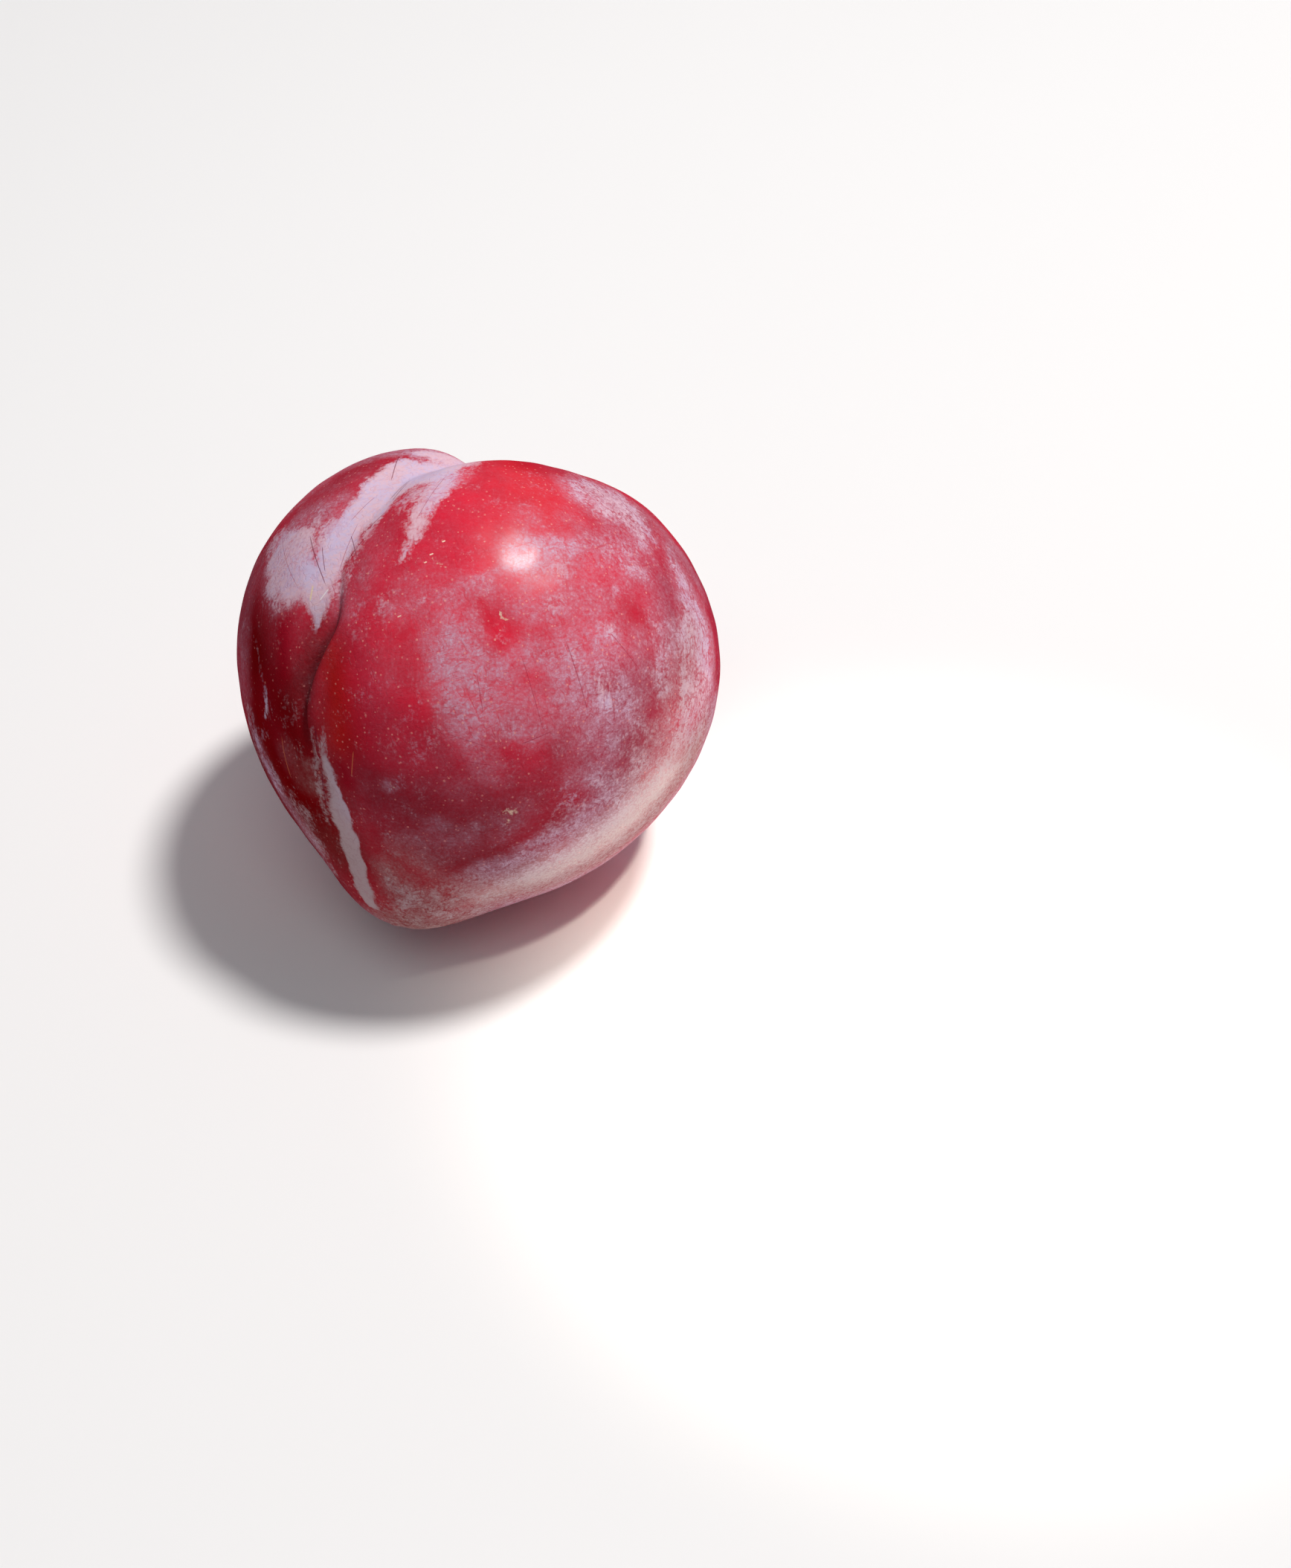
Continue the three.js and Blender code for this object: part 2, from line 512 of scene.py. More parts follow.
BLOOM_MARKS: tuple[Stroke, ...] = (
    # crackled haze of the right cheek
    Stroke(0.6, 4.0, ((39, 62, 1.5), (38, 72, 3.4), (42, 80, 4.4), (48, 82, 3.2), (54, 80, 1.6))),
    Stroke(0.4, 4.0, ((59, 68, 2.4), (62, 76, 2.2))),
    Stroke(0.58, 3.0, ((43, 63, 2), (46, 70, 2.2))),
    Stroke(0.42, 4.0, ((73, 77, 1.4), (79, 80.5, 2), (87, 82, 2))),
    Stroke(0.44, 3.0, ((86, 62, 1.4), (91, 68, 1.8), (94, 73, 1.4))),
    Stroke(0.3, 5.0, ((98, 80, 3), (107, 80, 4), (118, 74, 4), (130, 66, 4))),
    Stroke(0.22, 4.0, ((90, 33, 2), (100, 34, 2), (106, 40, 2))),
    Stroke(
        0.26, 3.0, ((104, 96, 4), (117, 96, 5), (129, 91, 5), (142, 84, 5), (152, 72, 3.4), (156, 50, 2))
    ),
    Stroke(0.26, 8.0, ((104, 110, 5), (118, 112, 6), (132, 109, 6), (146, 102, 6), (158, 88, 4))),
    Stroke(0.42, 3.0, ((153, 12, 2.2), (154, 27, 3), (156, 42, 4))),
    # bloom that thins out round the stem's hollow
    Stroke(0.5, 6.0, ((27, -22, 1.6), (22, -6, 2), (20, 12, 2), (26, 26, 2))),
    # thick bloom, with the gaps in it
    Stroke(0.93, 3.0, ((64, -17, 3.6), (71, -18, 5.4), (77, -15, 4.6), (80, -13, 3))),
    Stroke(0.62, 3.0, ((62, -24, 1.4), (67, -28, 1.8), (71, -29, 1.6))),
    Stroke(0.06, 1.6, ((46, -8, 1.3), (51, -10, 2.7), (56, -13, 3.8), (60, -18, 3.5), (62, -25, 2.9))),
    Stroke(0.6, 1.2, ((84, -15, 1), (86, -13, 0.5))),
    Stroke(0.5, 1.5, ((82, -44, 1), (72, -43, 1), (62, -42, 1), (52, -38, 1), (42, -34, 1))),
    Stroke(0.5, 2.5, ((42, -34, 1), (34, -26, 1.4), (28, -14, 1.4), (26, 0, 1))),
    Stroke(0.5, 1.5, ((50, 13, 1.8), (53, 19, 1.5))),
    Stroke(0.5, 3.0, ((47, 15, 2.2), (52, 13, 1.8), (57, 11, 1))),
    Stroke(0.55, 3.0, ((45, 17, 2.4), (51, 17, 2.2))),
    Stroke(0.9, 4.0, ((31, 8, 2.2), (38, 18, 2.6), (41, 10, 3.4))),
    Stroke(1.3, 2.2, ((39, 6, 3.2), (42, 8, 4), (44, 0, 4.4), (51, -1, 3.7), (59, -1.5, 2.7))),
    Stroke(
        1.3, 2.2,
        ((59, -1.5, 2.7), (66, -3, 2.5), (72, -3, 2.4), (77, -3, 2), (83, -2.2, 1.5), (88, -1.5, 0.5)),
    ),
    Stroke(1.2, 1.8, ((78, -6, 1.9), (82, -4, 1.5))),
    Stroke(0.66, 1.6, ((73, 1.5, 1), (77, 2, 1.3), (80, 1.6, 0.8))),
    Stroke(0.28, 1.4, ((61, -17, 0.9), (64.5, -13, 0.8))),
    Stroke(0.56, 1.4, ((64.5, -13, 0.6), (70, -9.5, 0.5), (75, -7, 0.3))),
    Stroke(1.1, 2.0, ((33, -8, 1.2), (30, 2, 1.6), (29, 12, 1.2))),
    Stroke(0.6, 2.4, ((64, 3, 1), (72, 3, 1), (78, 3, 0.7))),
    Stroke(
        0.9, 2.4, ((49, 18.5, 1.4), (56, 17.8, 1.8), (62, 17.5, 1.4), (67, 17, 0.9), (71, 16.5, 0.4))
    ),
    Stroke(0.52, 1.5, ((79, 24, 0.6),)),
    Stroke(0.46, 1.5, ((80, 15, 0.8),)),
    Stroke(0.5, 2.0, ((64, 50.5, 0.9), (67.5, 53.5, 0.8), (71, 53.5, 0.6), (75.5, 51.5, 0.9))),
    Stroke(0.6, 1.5, ((78, 65, 1),)),
    Stroke(
        0.58, 2.0, ((57, 91, 1), (64, 94, 2), (73, 95, 3.8), (82, 96, 4.6), (90, 98, 4.8), (98, 99, 4.4))
    ),
    Stroke(0.64, 1.6, ((92, 68, 1.2),)),
    Stroke(0.5, 1.6, ((111, -32, 2), (118, -33, 2.2), (122, -29, 2), (128, -28, 2))),
    Stroke(0.7, 0.8, ((104, -18, 0.4), (110, -20, 0.5))),
    Stroke(0.4, 1.0, ((93, -22, 0.4), (98, -20, 0.5), (103, -19, 0.3))),
    Stroke(0.46, 1.6, ((130, -19, 1.4), (135, -18, 1.8))),
    Stroke(0.46, 1.6, ((143, -22, 1.8), (149, -25, 2))),
    Stroke(0.7, 1.2, ((111, 0.5, 0.3), (115, 1, 0.6), (120, 1, 0.7))),
    Stroke(
        0.7, 1.2, ((111, -2, 0.2), (116, -3, 0.45), (123, -3, 0.5), (131, -4.5, 0.5), (136, -5.5, 0.3))
    ),
    Stroke(
        1.2, 1.0, ((119, 1, 0.6), (126, 1.2, 1), (132.5, 1, 1.4), (139.5, 0.5, 1.5), (146.5, -0.5, 1.45))
    ),
    Stroke(1.2, 0.9, ((146.5, -0.5, 1.4), (153, -1, 1.3), (158, -2.2, 0.8))),
    Stroke(0.06, 1.0, ((140, -10, 1), (145, -11, 1.3), (152, -14, 1.4))),
    Stroke(
        0.06, 1.0,
        ((118, 6, 1), (122, 8, 1.2), (130, 10, 1.5), (139, 11, 1.2), (147, 11, 1), (154, 9, 0.7)),
    ),
)

# ---- The thin film that dulls the red ----

FILM_MARKS: tuple[Stroke, ...] = (
    Stroke(0.48, 5.0, ((87, 33, 3.6), (97.5, 38, 4.8), (94, 52, 6), (86, 63, 5))),
    Stroke(0.26, 4.0, ((102, 36, 2.4), (107, 40, 2.4), (112, 44, 1.4))),
    Stroke(0.34, 5.0, ((98, 50, 3), (100, 60, 4), (103, 68, 4), (108, 70, 3))),
    Stroke(0.22, 6.0, ((77, 22, 1.6), (76, 35, 2.3), (71.5, 51, 3.6), (62, 68.5, 3.8))),
    Stroke(0.54, 3.5, ((89.5, 31, 1.9), (99, 32.5, 2.1), (102, 38.5, 1.8))),
    Stroke(0.46, 4.0, ((86.5, 58, 1.8), (91.5, 64.5, 3.1), (94.5, 72, 2.5))),
    Stroke(0.5, 3.0, ((90, 66.5, 0.9), (92.5, 70.5, 1.5), (95, 75.5, 0.9))),
    Stroke(0.42, 4.0, ((60.5, 58, 1.3), (58, 69.5, 3.4), (61.5, 77, 2.3))),
    Stroke(0.42, 3.0, ((62, 46, 2), (62, 53, 1.6))),
    Stroke(0.6, 3.5, ((65, 42, 2), (66, 45, 2))),
    Stroke(0.2, 4.0, ((56, 44, 2),)),
    Stroke(0.52, 4.0, ((43, 63, 2.2), (46, 70, 2.4))),
    Stroke(0.48, 4.0, ((40, 59.5, 1.8), (39.5, 69, 3.6), (41, 77, 5), (47.5, 80, 3.6), (53, 80, 2))),
    Stroke(0.4, 3.0, ((64, 50.5, 0.9), (67.5, 53.5, 0.8), (71, 53.5, 0.6), (75.5, 51.5, 0.6))),
    Stroke(0.36, 4.0, ((70, 80, 1.6), (78, 83, 2.8), (87, 84, 3), (94, 79, 2.6))),
    Stroke(
        0.48, 3.5,
        ((57, 92, 1.3), (63.5, 94, 2.6), (72.5, 96, 4.6), (82, 97, 5.4), (90.5, 99, 5.4), (98, 100, 5)),
    ),
    Stroke(
        0.5, 4.0,
        ((97.5, 93, 4), (107, 88, 4.4), (118.5, 82, 4.4), (131.5, 74, 4), (141.5, 64, 3), (149, 48, 2)),
    ),
    Stroke(
        0.42, 3.0, ((95.5, 104, 3.2), (106.5, 102, 5), (117.5, 100, 6), (129.5, 96, 6), (142, 90, 6))
    ),
    Stroke(0.66, 3.0, ((142, 88, 6), (152, 76, 4), (155, 57, 2.2))),
    Stroke(0.3, 3.0, ((146, 15, 1.4), (150, 19.5, 2.2), (154.5, 27, 2.6), (156.5, 42.5, 3))),
    Stroke(0.28, 2.5, ((130.5, 34.5, 1.3),)),
    Stroke(0.2, 1.6, ((121.5, 20, 0.6),)),
    Stroke(0.4, 2.5, ((111.5, 72, 1.5), (110, 75, 1.2))),
    Stroke(0.42, 3.0, ((44, -30, 1.6), (36, -20, 1.8), (30, -8, 1.8), (27, 6, 1.4))),
    Stroke(0.2, 3.0, ((44, -30, 2), (60, -36, 2))),
    Stroke(0.42, 3.0, ((46, 17, 2.4), (52, 15.5, 1.8))),
    Stroke(
        0.7, 7.0,
        ((98, 112, 5.5), (118, 112, 6.5), (132, 109, 6.5), (146, 102, 6), (158, 88, 4), (162, 50, 2.4)),
    ),
    Stroke(0.4, 3.0, ((158, 20, 1.6), (161, 44, 3))),
    Stroke(0.34, 3.0, ((62, -16, 4.4), (72, -18, 6), (78, -14, 4.6))),
    Stroke(0.4, 2.0, ((118, -30, 1.8), (124, -29, 1.6), (133, -27, 1.6), (142, -25, 2))),
    Stroke(0.62, 9.0, ((96, 116, 3), (118, 118, 3.4), (134, 115, 3.4), (148, 106, 3.4), (158, 92, 3))),
    Stroke(0.26, 4.0, ((42, 92, 2), (52, 100, 2), (60, 105, 2))),
    Stroke(0.5, 6.0, ((158, 92, 3), (166, 60, 3.6), (167, 10, 3.4), (165, -30, 2.4), (158, -50, 2.4))),
    Stroke(0.94, 4.0, ((108, 95, 2.6), (117, 92, 3.2), (126, 88, 2.8), (134, 84, 2.4), (143, 78, 2))),
    # light haze between the patches
    Stroke(0.2, 3.0, ((82, 18, 1.2), (81, 26, 1.4))),
    Stroke(0.32, 3.5, ((80, 31, 1.4), (75, 34, 1.4))),
    Stroke(0.3, 3.5, ((77.5, 45, 1.4), (77, 50, 1.4))),
    Stroke(0.42, 3.0, ((76.5, 52, 1.2),)),
    Stroke(0.28, 3.5, ((75, 58, 1.6), (73.5, 65.5, 1.6))),
    Stroke(0.25, 3.5, ((79, 74, 1.8), (85, 75, 1.6))),
    Stroke(0.62, 3.0, ((62.5, 50, 1.4), (60.5, 54, 1.2))),
    Stroke(0.2, 4.0, ((53, 57, 2.4),)),
    Stroke(0.38, 3.0, ((53, 93, 1.4), (57, 94, 1.4))),
    Stroke(0.2, 3.0, ((80, 3.5, 1.2), (84, 5, 1.4))),
    Stroke(0.17, 4.0, ((94.5, 22, 2),)),
    Stroke(0.24, 4.0, ((113, 46, 2),)),
    Stroke(0.12, 4.0, ((119, 39, 2),)),
    Stroke(0.15, 5.0, ((124, 56, 2), (138, 29, 2.4))),
    Stroke(0.2, 4.0, ((138, 24, 1.6), (146, 33, 2))),
    Stroke(0.09, 3.0, ((112, 34, 1.4),)),
    Stroke(0.17, 4.0, ((104, 58, 1.8), (107, 65, 2))),
    Stroke(0.34, 3.0, ((81.5, 59, 1.2),)),
    Stroke(0.28, 4.0, ((97, 48, 1.8),)),
    Stroke(0.36, 3.0, ((130, 71, 1.4),)),
    # clean skin
    Stroke(0.1, 3.0, ((57, -24, 2.6), (53, -18, 2.6), (49, -10, 1.6))),
    Stroke(0.0, 7.0, ((92, -26, 4), (112, -16, 7), (128, -12, 5))),
    Stroke(0.13, 3.0, ((80, -36, 4), (92, -35, 4.4), (101, -34, 4))),
    Stroke(0.0, 3.0, ((90, -11, 1.4), (100, -10.5, 1.4))),
    Stroke(0.1, 3.0, ((126, -8, 1.4), (118, -13, 1.6))),
    Stroke(0.17, 1.6, ((121, -5, 0.8), (126, -6, 0.8))),
    Stroke(0.0, 3.0, ((119, 6.5, 1.2), (123, 7, 1.2))),
    Stroke(0.01, 5.0, ((96, 7, 2.4), (112, 11, 3.4))),
    Stroke(0.05, 4.0, ((91, 21, 1.2), (102, 25, 2), (112, 28, 2))),
    Stroke(0.06, 3.0, ((112, 50.5, 1.6), (109, 57.5, 2.4))),
    Stroke(0.02, 3.0, ((78, 36, 0.6), (81.5, 39, 1.3), (85, 42, 1.3))),
    Stroke(0.2, 4.0, ((92.5, 50, 2.6),)),
    Stroke(0.16, 3.0, ((90, 67.5, 1.3),)),
    Stroke(0.04, 3.0, ((109, 49, 1.5),)),
    Stroke(0.06, 3.0, ((123, 65, 1.4),)),
    Stroke(0.22, 3.0, ((132.5, 65, 1.4),)),
    Stroke(0.05, 3.0, ((130, 23.5, 1.2),)),
    Stroke(0.1, 3.0, ((92, 81.5, 1.6),)),
    Stroke(0.0, 4.0, ((34, 40, 3),)),
    Stroke(0.02, 4.0, ((103, 27, 2.4),)),
    Stroke(0.12, 4.0, ((66, 6, 2), (71, 9, 2.2), (78, 9, 2))),
    Stroke(0.18, 3.0, ((60, 80, 2), (66, 82, 2.4), (71, 79, 1.2))),
    Stroke(0.0, 3.0, ((0, 0, 2.6),)),
    Stroke(0.1, 1.6, ((155, 9, 1),)),
)

# ---- Russet and pale scars ----

RUSSET_MARKS: tuple[Stroke, ...] = (
    Stroke(0.72, 1.5, ((123.2, 51.6, 0.7), (122.8, 53.4, 0.6))),
    Stroke(0.62, 1.2, ((125.5, 54, 0.4), (126.6, 55.4, 0.3))),
    Stroke(0.74, 1.4, ((121, 21, 0.5),)),
    Stroke(0.6, 1.2, ((114.5, 24, 0.4),)),
    Stroke(0.5, 1.6, ((140, 17, 0.5), (143, 19, 0.4))),
    Stroke(0.55, 1.2, ((69, 22.5, 0.4), (71.5, 27.5, 0.4))),
    Stroke(1.0, 0.7, ((79.2, 40.2, 0.1), (80.3, 41, 0.16), (80.8, 42.4, 0.14))),
    Stroke(0.8, 0.7, ((104.5, 7.5, 0.12),)),
    Stroke(
        0.6, 1.6, ((4.3, 0, 0.4), (4.3, 90, 0.4), (4.3, 180, 0.4), (4.3, 270, 0.4), (4.3, 360, 0.4))
    ),
)

# ---- Painted shade and bounce light: greyer, darker wax and film where the fruit is in shade, warmer at the lower right ----

PAINTED_SHADE_MARKS: tuple[Stroke, ...] = (
    Stroke(1.0, 10.0, ((116, -4, 5), (130, -8, 6), (145, -6, 6), (156, 6, 6), (168, 40, 6))),
    Stroke(0.5, 8.0, ((90, -4, 3), (106, -4, 3))),
    Stroke(0.6, 8.0, ((76, 92, 3), (92, 86, 5), (106, 88, 5))),
    Stroke(0.9, 8.0, ((146, 20, 5), (154, 40, 5))),
    Stroke(0.9, 9.0, ((100, 106, 5), (118, 102, 7), (132, 97, 7), (146, 86, 6), (154, 64, 4))),
)

# ---- Skin that is rubbed to a gloss ----

POLISH_MARKS: tuple[Stroke, ...] = (
    Stroke(0.78, 12.0, ((64, 43, 4), (66, 50, 4))),
    Stroke(1.0, 6.0, ((106, 97, 3), (118, 92, 4), (130, 86, 4), (143, 76, 3.4), (152, 62, 2))),
    Stroke(0.12, 12.0, ((70, 150, 8), (95, 190, 10))),
)

# ---- Tints of the skin under the bloom, over crimson ----

TINT_MARKS: tuple[Stroke, ...] = (
    Stroke(SkinTint.BRIGHT_RED, 22, ((40, 40, 8), (70, 40, 10), (80, 75, 8))),
    Stroke(SkinTint.BRIGHT_RED, 14, ((86, 28, 4), (100, 38, 4)), 0.7),
    Stroke(SkinTint.ORANGE_RED, 16, ((32, 42, 5), (50, 46, 4)), 0.8),
    Stroke(SkinTint.DEEP_RED, 10, ((38, -20, 5), (58, -24, 5))),
    Stroke(SkinTint.DEEP_RED, 10, ((30, 50, 3), (60, 100, 4), (80, 90, 4))),
    # purple darkening of the right cheek, partly painted shade
    Stroke(SkinTint.PLUM, 12, ((64, 84, 2), (82, 86, 4), (94, 76, 7), (108, 76, 6), (120, 82, 5))),
    # deep maroon on the lower left: partly the skin's own colour, partly painted shade
    Stroke(SkinTint.MAROON, 12, ((80, -36, 4), (96, -26, 8), (118, -16, 10), (140, -10, 7))),
    Stroke(SkinTint.WINE, 16, ((122, 20, 8), (134, 45, 9), (146, 70, 6))),
    Stroke(SkinTint.WINE, 12, ((158, -70, 6), (170, 20, 7), (160, 90, 6), (146, 114, 6))),
    Stroke(SkinTint.MAROON, 8, ((150, 16, 2), (158, 30, 3.4), (164, 20, 4), (168, 60, 4)), 0.8),
    Stroke(SkinTint.MAROON, 8, ((118, -38, 3), (136, -38, 4), (152, -44, 5))),
    Stroke(SkinTint.PLUM, 10, ((98, 106, 4), (118, 104, 5), (134, 98, 5), (146, 90, 5))),
    Stroke(SkinTint.DEEP_RED, 7, ((80, -38, 4.6), (92, -37, 5), (102, -36, 4.4)), 0.8),
    Stroke(SkinTint.PLUM, 8, ((58, 112, 3), (76, 114, 4), (92, 114, 4)), 0.8),
    Stroke(SkinTint.BRIGHT_RED, 7, ((111, 15, 2), (112, 20, 2)), 0.4),
    Stroke(SkinTint.MAROON, 10, ((140, 26, 3), (142, 48, 3), (140, 66, 3)), 0.35),
    Stroke(SkinTint.WINE, 8, ((104, -18, 2), (118, -14, 2)), 0.6),
    Stroke(SkinTint.CRIMSON, 10, ((110, 20, 2.4), (116, 34, 3)), 0.6),
    Stroke(SkinTint.BRIGHT_RED, 12, ((88, 20, 3), (96, 28, 3)), 0.7),
    Stroke(SkinTint.WINE, 10, ((107, 60, 2.4), (118, 64, 3), (130, 68, 3)), 0.5),
    Stroke(SkinTint.DEEP_RED, 10, ((70, 68, 2.4), (75, 76, 3)), 0.5),
    # painted light on the lip beside the crease
    Stroke(SkinTint.LIT_LIP_RED, 6, ((94, 4, 2), (102, 6, 2), (112, 7, 2))),
    # painted shade along the left side of the crease
    Stroke(SkinTint.MAROON, 4, ((88, -1, 1.2), (97, -3.4, 1.8), (106, -7, 1.8)), 0.7),
    Stroke(SkinTint.MAROON, 5, ((121, 3, 1.4), (128, 5, 1.4)), 0.5),
    Stroke(SkinTint.CRIMSON, 14, ((118, 195, 9), (100, 215, 8))),
    Stroke(SkinTint.BARK, 1.2, ((0, 0, 1.9),)),
    Stroke(SkinTint.OCHRE, 18, ((52, 150, 3), (70, 175, 6), (86, 200, 4)), 0.75),
    Stroke(SkinTint.ORANGE_RED, 18, ((40, 200, 5), (60, 235, 6)), 0.8),
)


class LineTint(Enum):
    """Colours of the fine lines on the skin, linear."""

    DARK = (0.16, 0.01, 0.03)
    WINE_RED = (0.3, 0.02, 0.05)
    ORANGE = (0.7, 0.2, 0.09)
    STRAW = (0.75, 0.6, 0.35)
    WHITE = (0.8, 0.72, 0.74)
    CREAM = (0.95, 0.7, 0.56)


@dataclass(frozen=True)
class Hairline:
    """A fine straight scratch or crack between two places on the skin."""

    start: tuple[float, float]
    end: tuple[float, float]
    width: float
    tint: LineTint
    strength: float = 0.7

    def inputs(self, form: FruitForm) -> dict[str, Any]:
        """Values that the shared hairline group needs for this line.

        The line lies in the plane through its ends and the middle of the fruit, so its axis
        is their cross product; it reaches as far from its middle as its ends do.

        Args:
            form: the fruit's form, which lays the places down.

        Returns:
            Values by socket name.
        """
        ends = [form.laid_direction(*self.start), form.laid_direction(*self.end)]
        middle = unit(ends[0] + ends[1])
        axis = unit(np.cross(ends[0], ends[1]))
        return {
            "Axis": [float(v) for v in axis],
            "Middle": [float(v) for v in middle],
            "Reach": float(middle @ ends[0]),
            "Width": self.width,
        }


# Each one runs from (polar, turn) to (polar, turn); its width is in mm.
HAIRLINES: tuple[Hairline, ...] = (
    Hairline((45, 2), (54, 2.5), 0.07, LineTint.DARK),
    Hairline((68, -13), (79, -2), 0.08, LineTint.DARK),
    Hairline((70, -7.5), (76, -3.5), 0.06, LineTint.DARK),
    Hairline((37.5, -13), (47, -4), 0.07, LineTint.DARK),
    Hairline((53.5, -3), (62.5, -4), 0.05, LineTint.WINE_RED, 0.6),
    Hairline((62.5, -1.5), (75.5, 0), 0.05, LineTint.WINE_RED, 0.6),
    Hairline((68.5, -26.5), (80.5, -9.5), 0.05, LineTint.WINE_RED, 0.5),
    Hairline((66, -1.5), (71.5, 4), 0.07, LineTint.DARK),
    Hairline((92.5, 38), (101, 41), 0.05, LineTint.WINE_RED, 0.5),
    Hairline((87, 46.5), (102.5, 55), 0.05, LineTint.WINE_RED, 0.5),
    Hairline((82, 55.5), (96.5, 64), 0.08, LineTint.WINE_RED, 0.6),
    Hairline((78.5, 66), (85, 75), 0.05, LineTint.WINE_RED, 0.6),
    Hairline((106.5, 33.5), (108, 44), 0.06, LineTint.WINE_RED, 0.4),
    Hairline((112, 36), (112, 46), 0.06, LineTint.WINE_RED, 0.4),
    Hairline((106, 50.5), (102, 56.5), 0.07, LineTint.WINE_RED, 0.6),
    Hairline((61.5, 16.5), (46, 17.5), 0.05, LineTint.WINE_RED, 0.5),
    Hairline((64.5, 2.5), (59, 5.5), 0.09, LineTint.DARK, 0.6),
    Hairline((55, 4.5), (47, 3), 0.09, LineTint.DARK, 0.6),
    Hairline((73, 1), (66, 4), 0.08, LineTint.DARK, 0.5),
    Hairline((69.3, 22.7), (68.8, 23.5), 0.11, LineTint.CREAM, 0.85),
    Hairline((65.8, 24.6), (65.3, 25.3), 0.11, LineTint.CREAM, 0.85),
    Hairline((71.3, 22), (70.9, 22.6), 0.1, LineTint.CREAM, 0.8),
    Hairline((83.8, 19.1), (83.3, 19.9), 0.1, LineTint.CREAM, 0.7),
    Hairline((110.5, -0.6), (122, -1.6), 0.08, LineTint.DARK, 0.8),
    Hairline((122, -1.6), (131, -3.6), 0.08, LineTint.DARK, 0.75),
    Hairline((112, -2.2), (121, -3.4), 0.05, LineTint.DARK, 0.6),
    Hairline((114, -13.5), (124.5, -15), 0.08, LineTint.ORANGE, 0.5),
    Hairline((114.5, 11), (121, 9.5), 0.08, LineTint.ORANGE, 0.55),
    Hairline((79.3, -5.5), (83, -5), 0.12, LineTint.STRAW, 0.8),
    Hairline((79.5, -1), (82.5, -2.5), 0.1, LineTint.WHITE, 0.9),
)


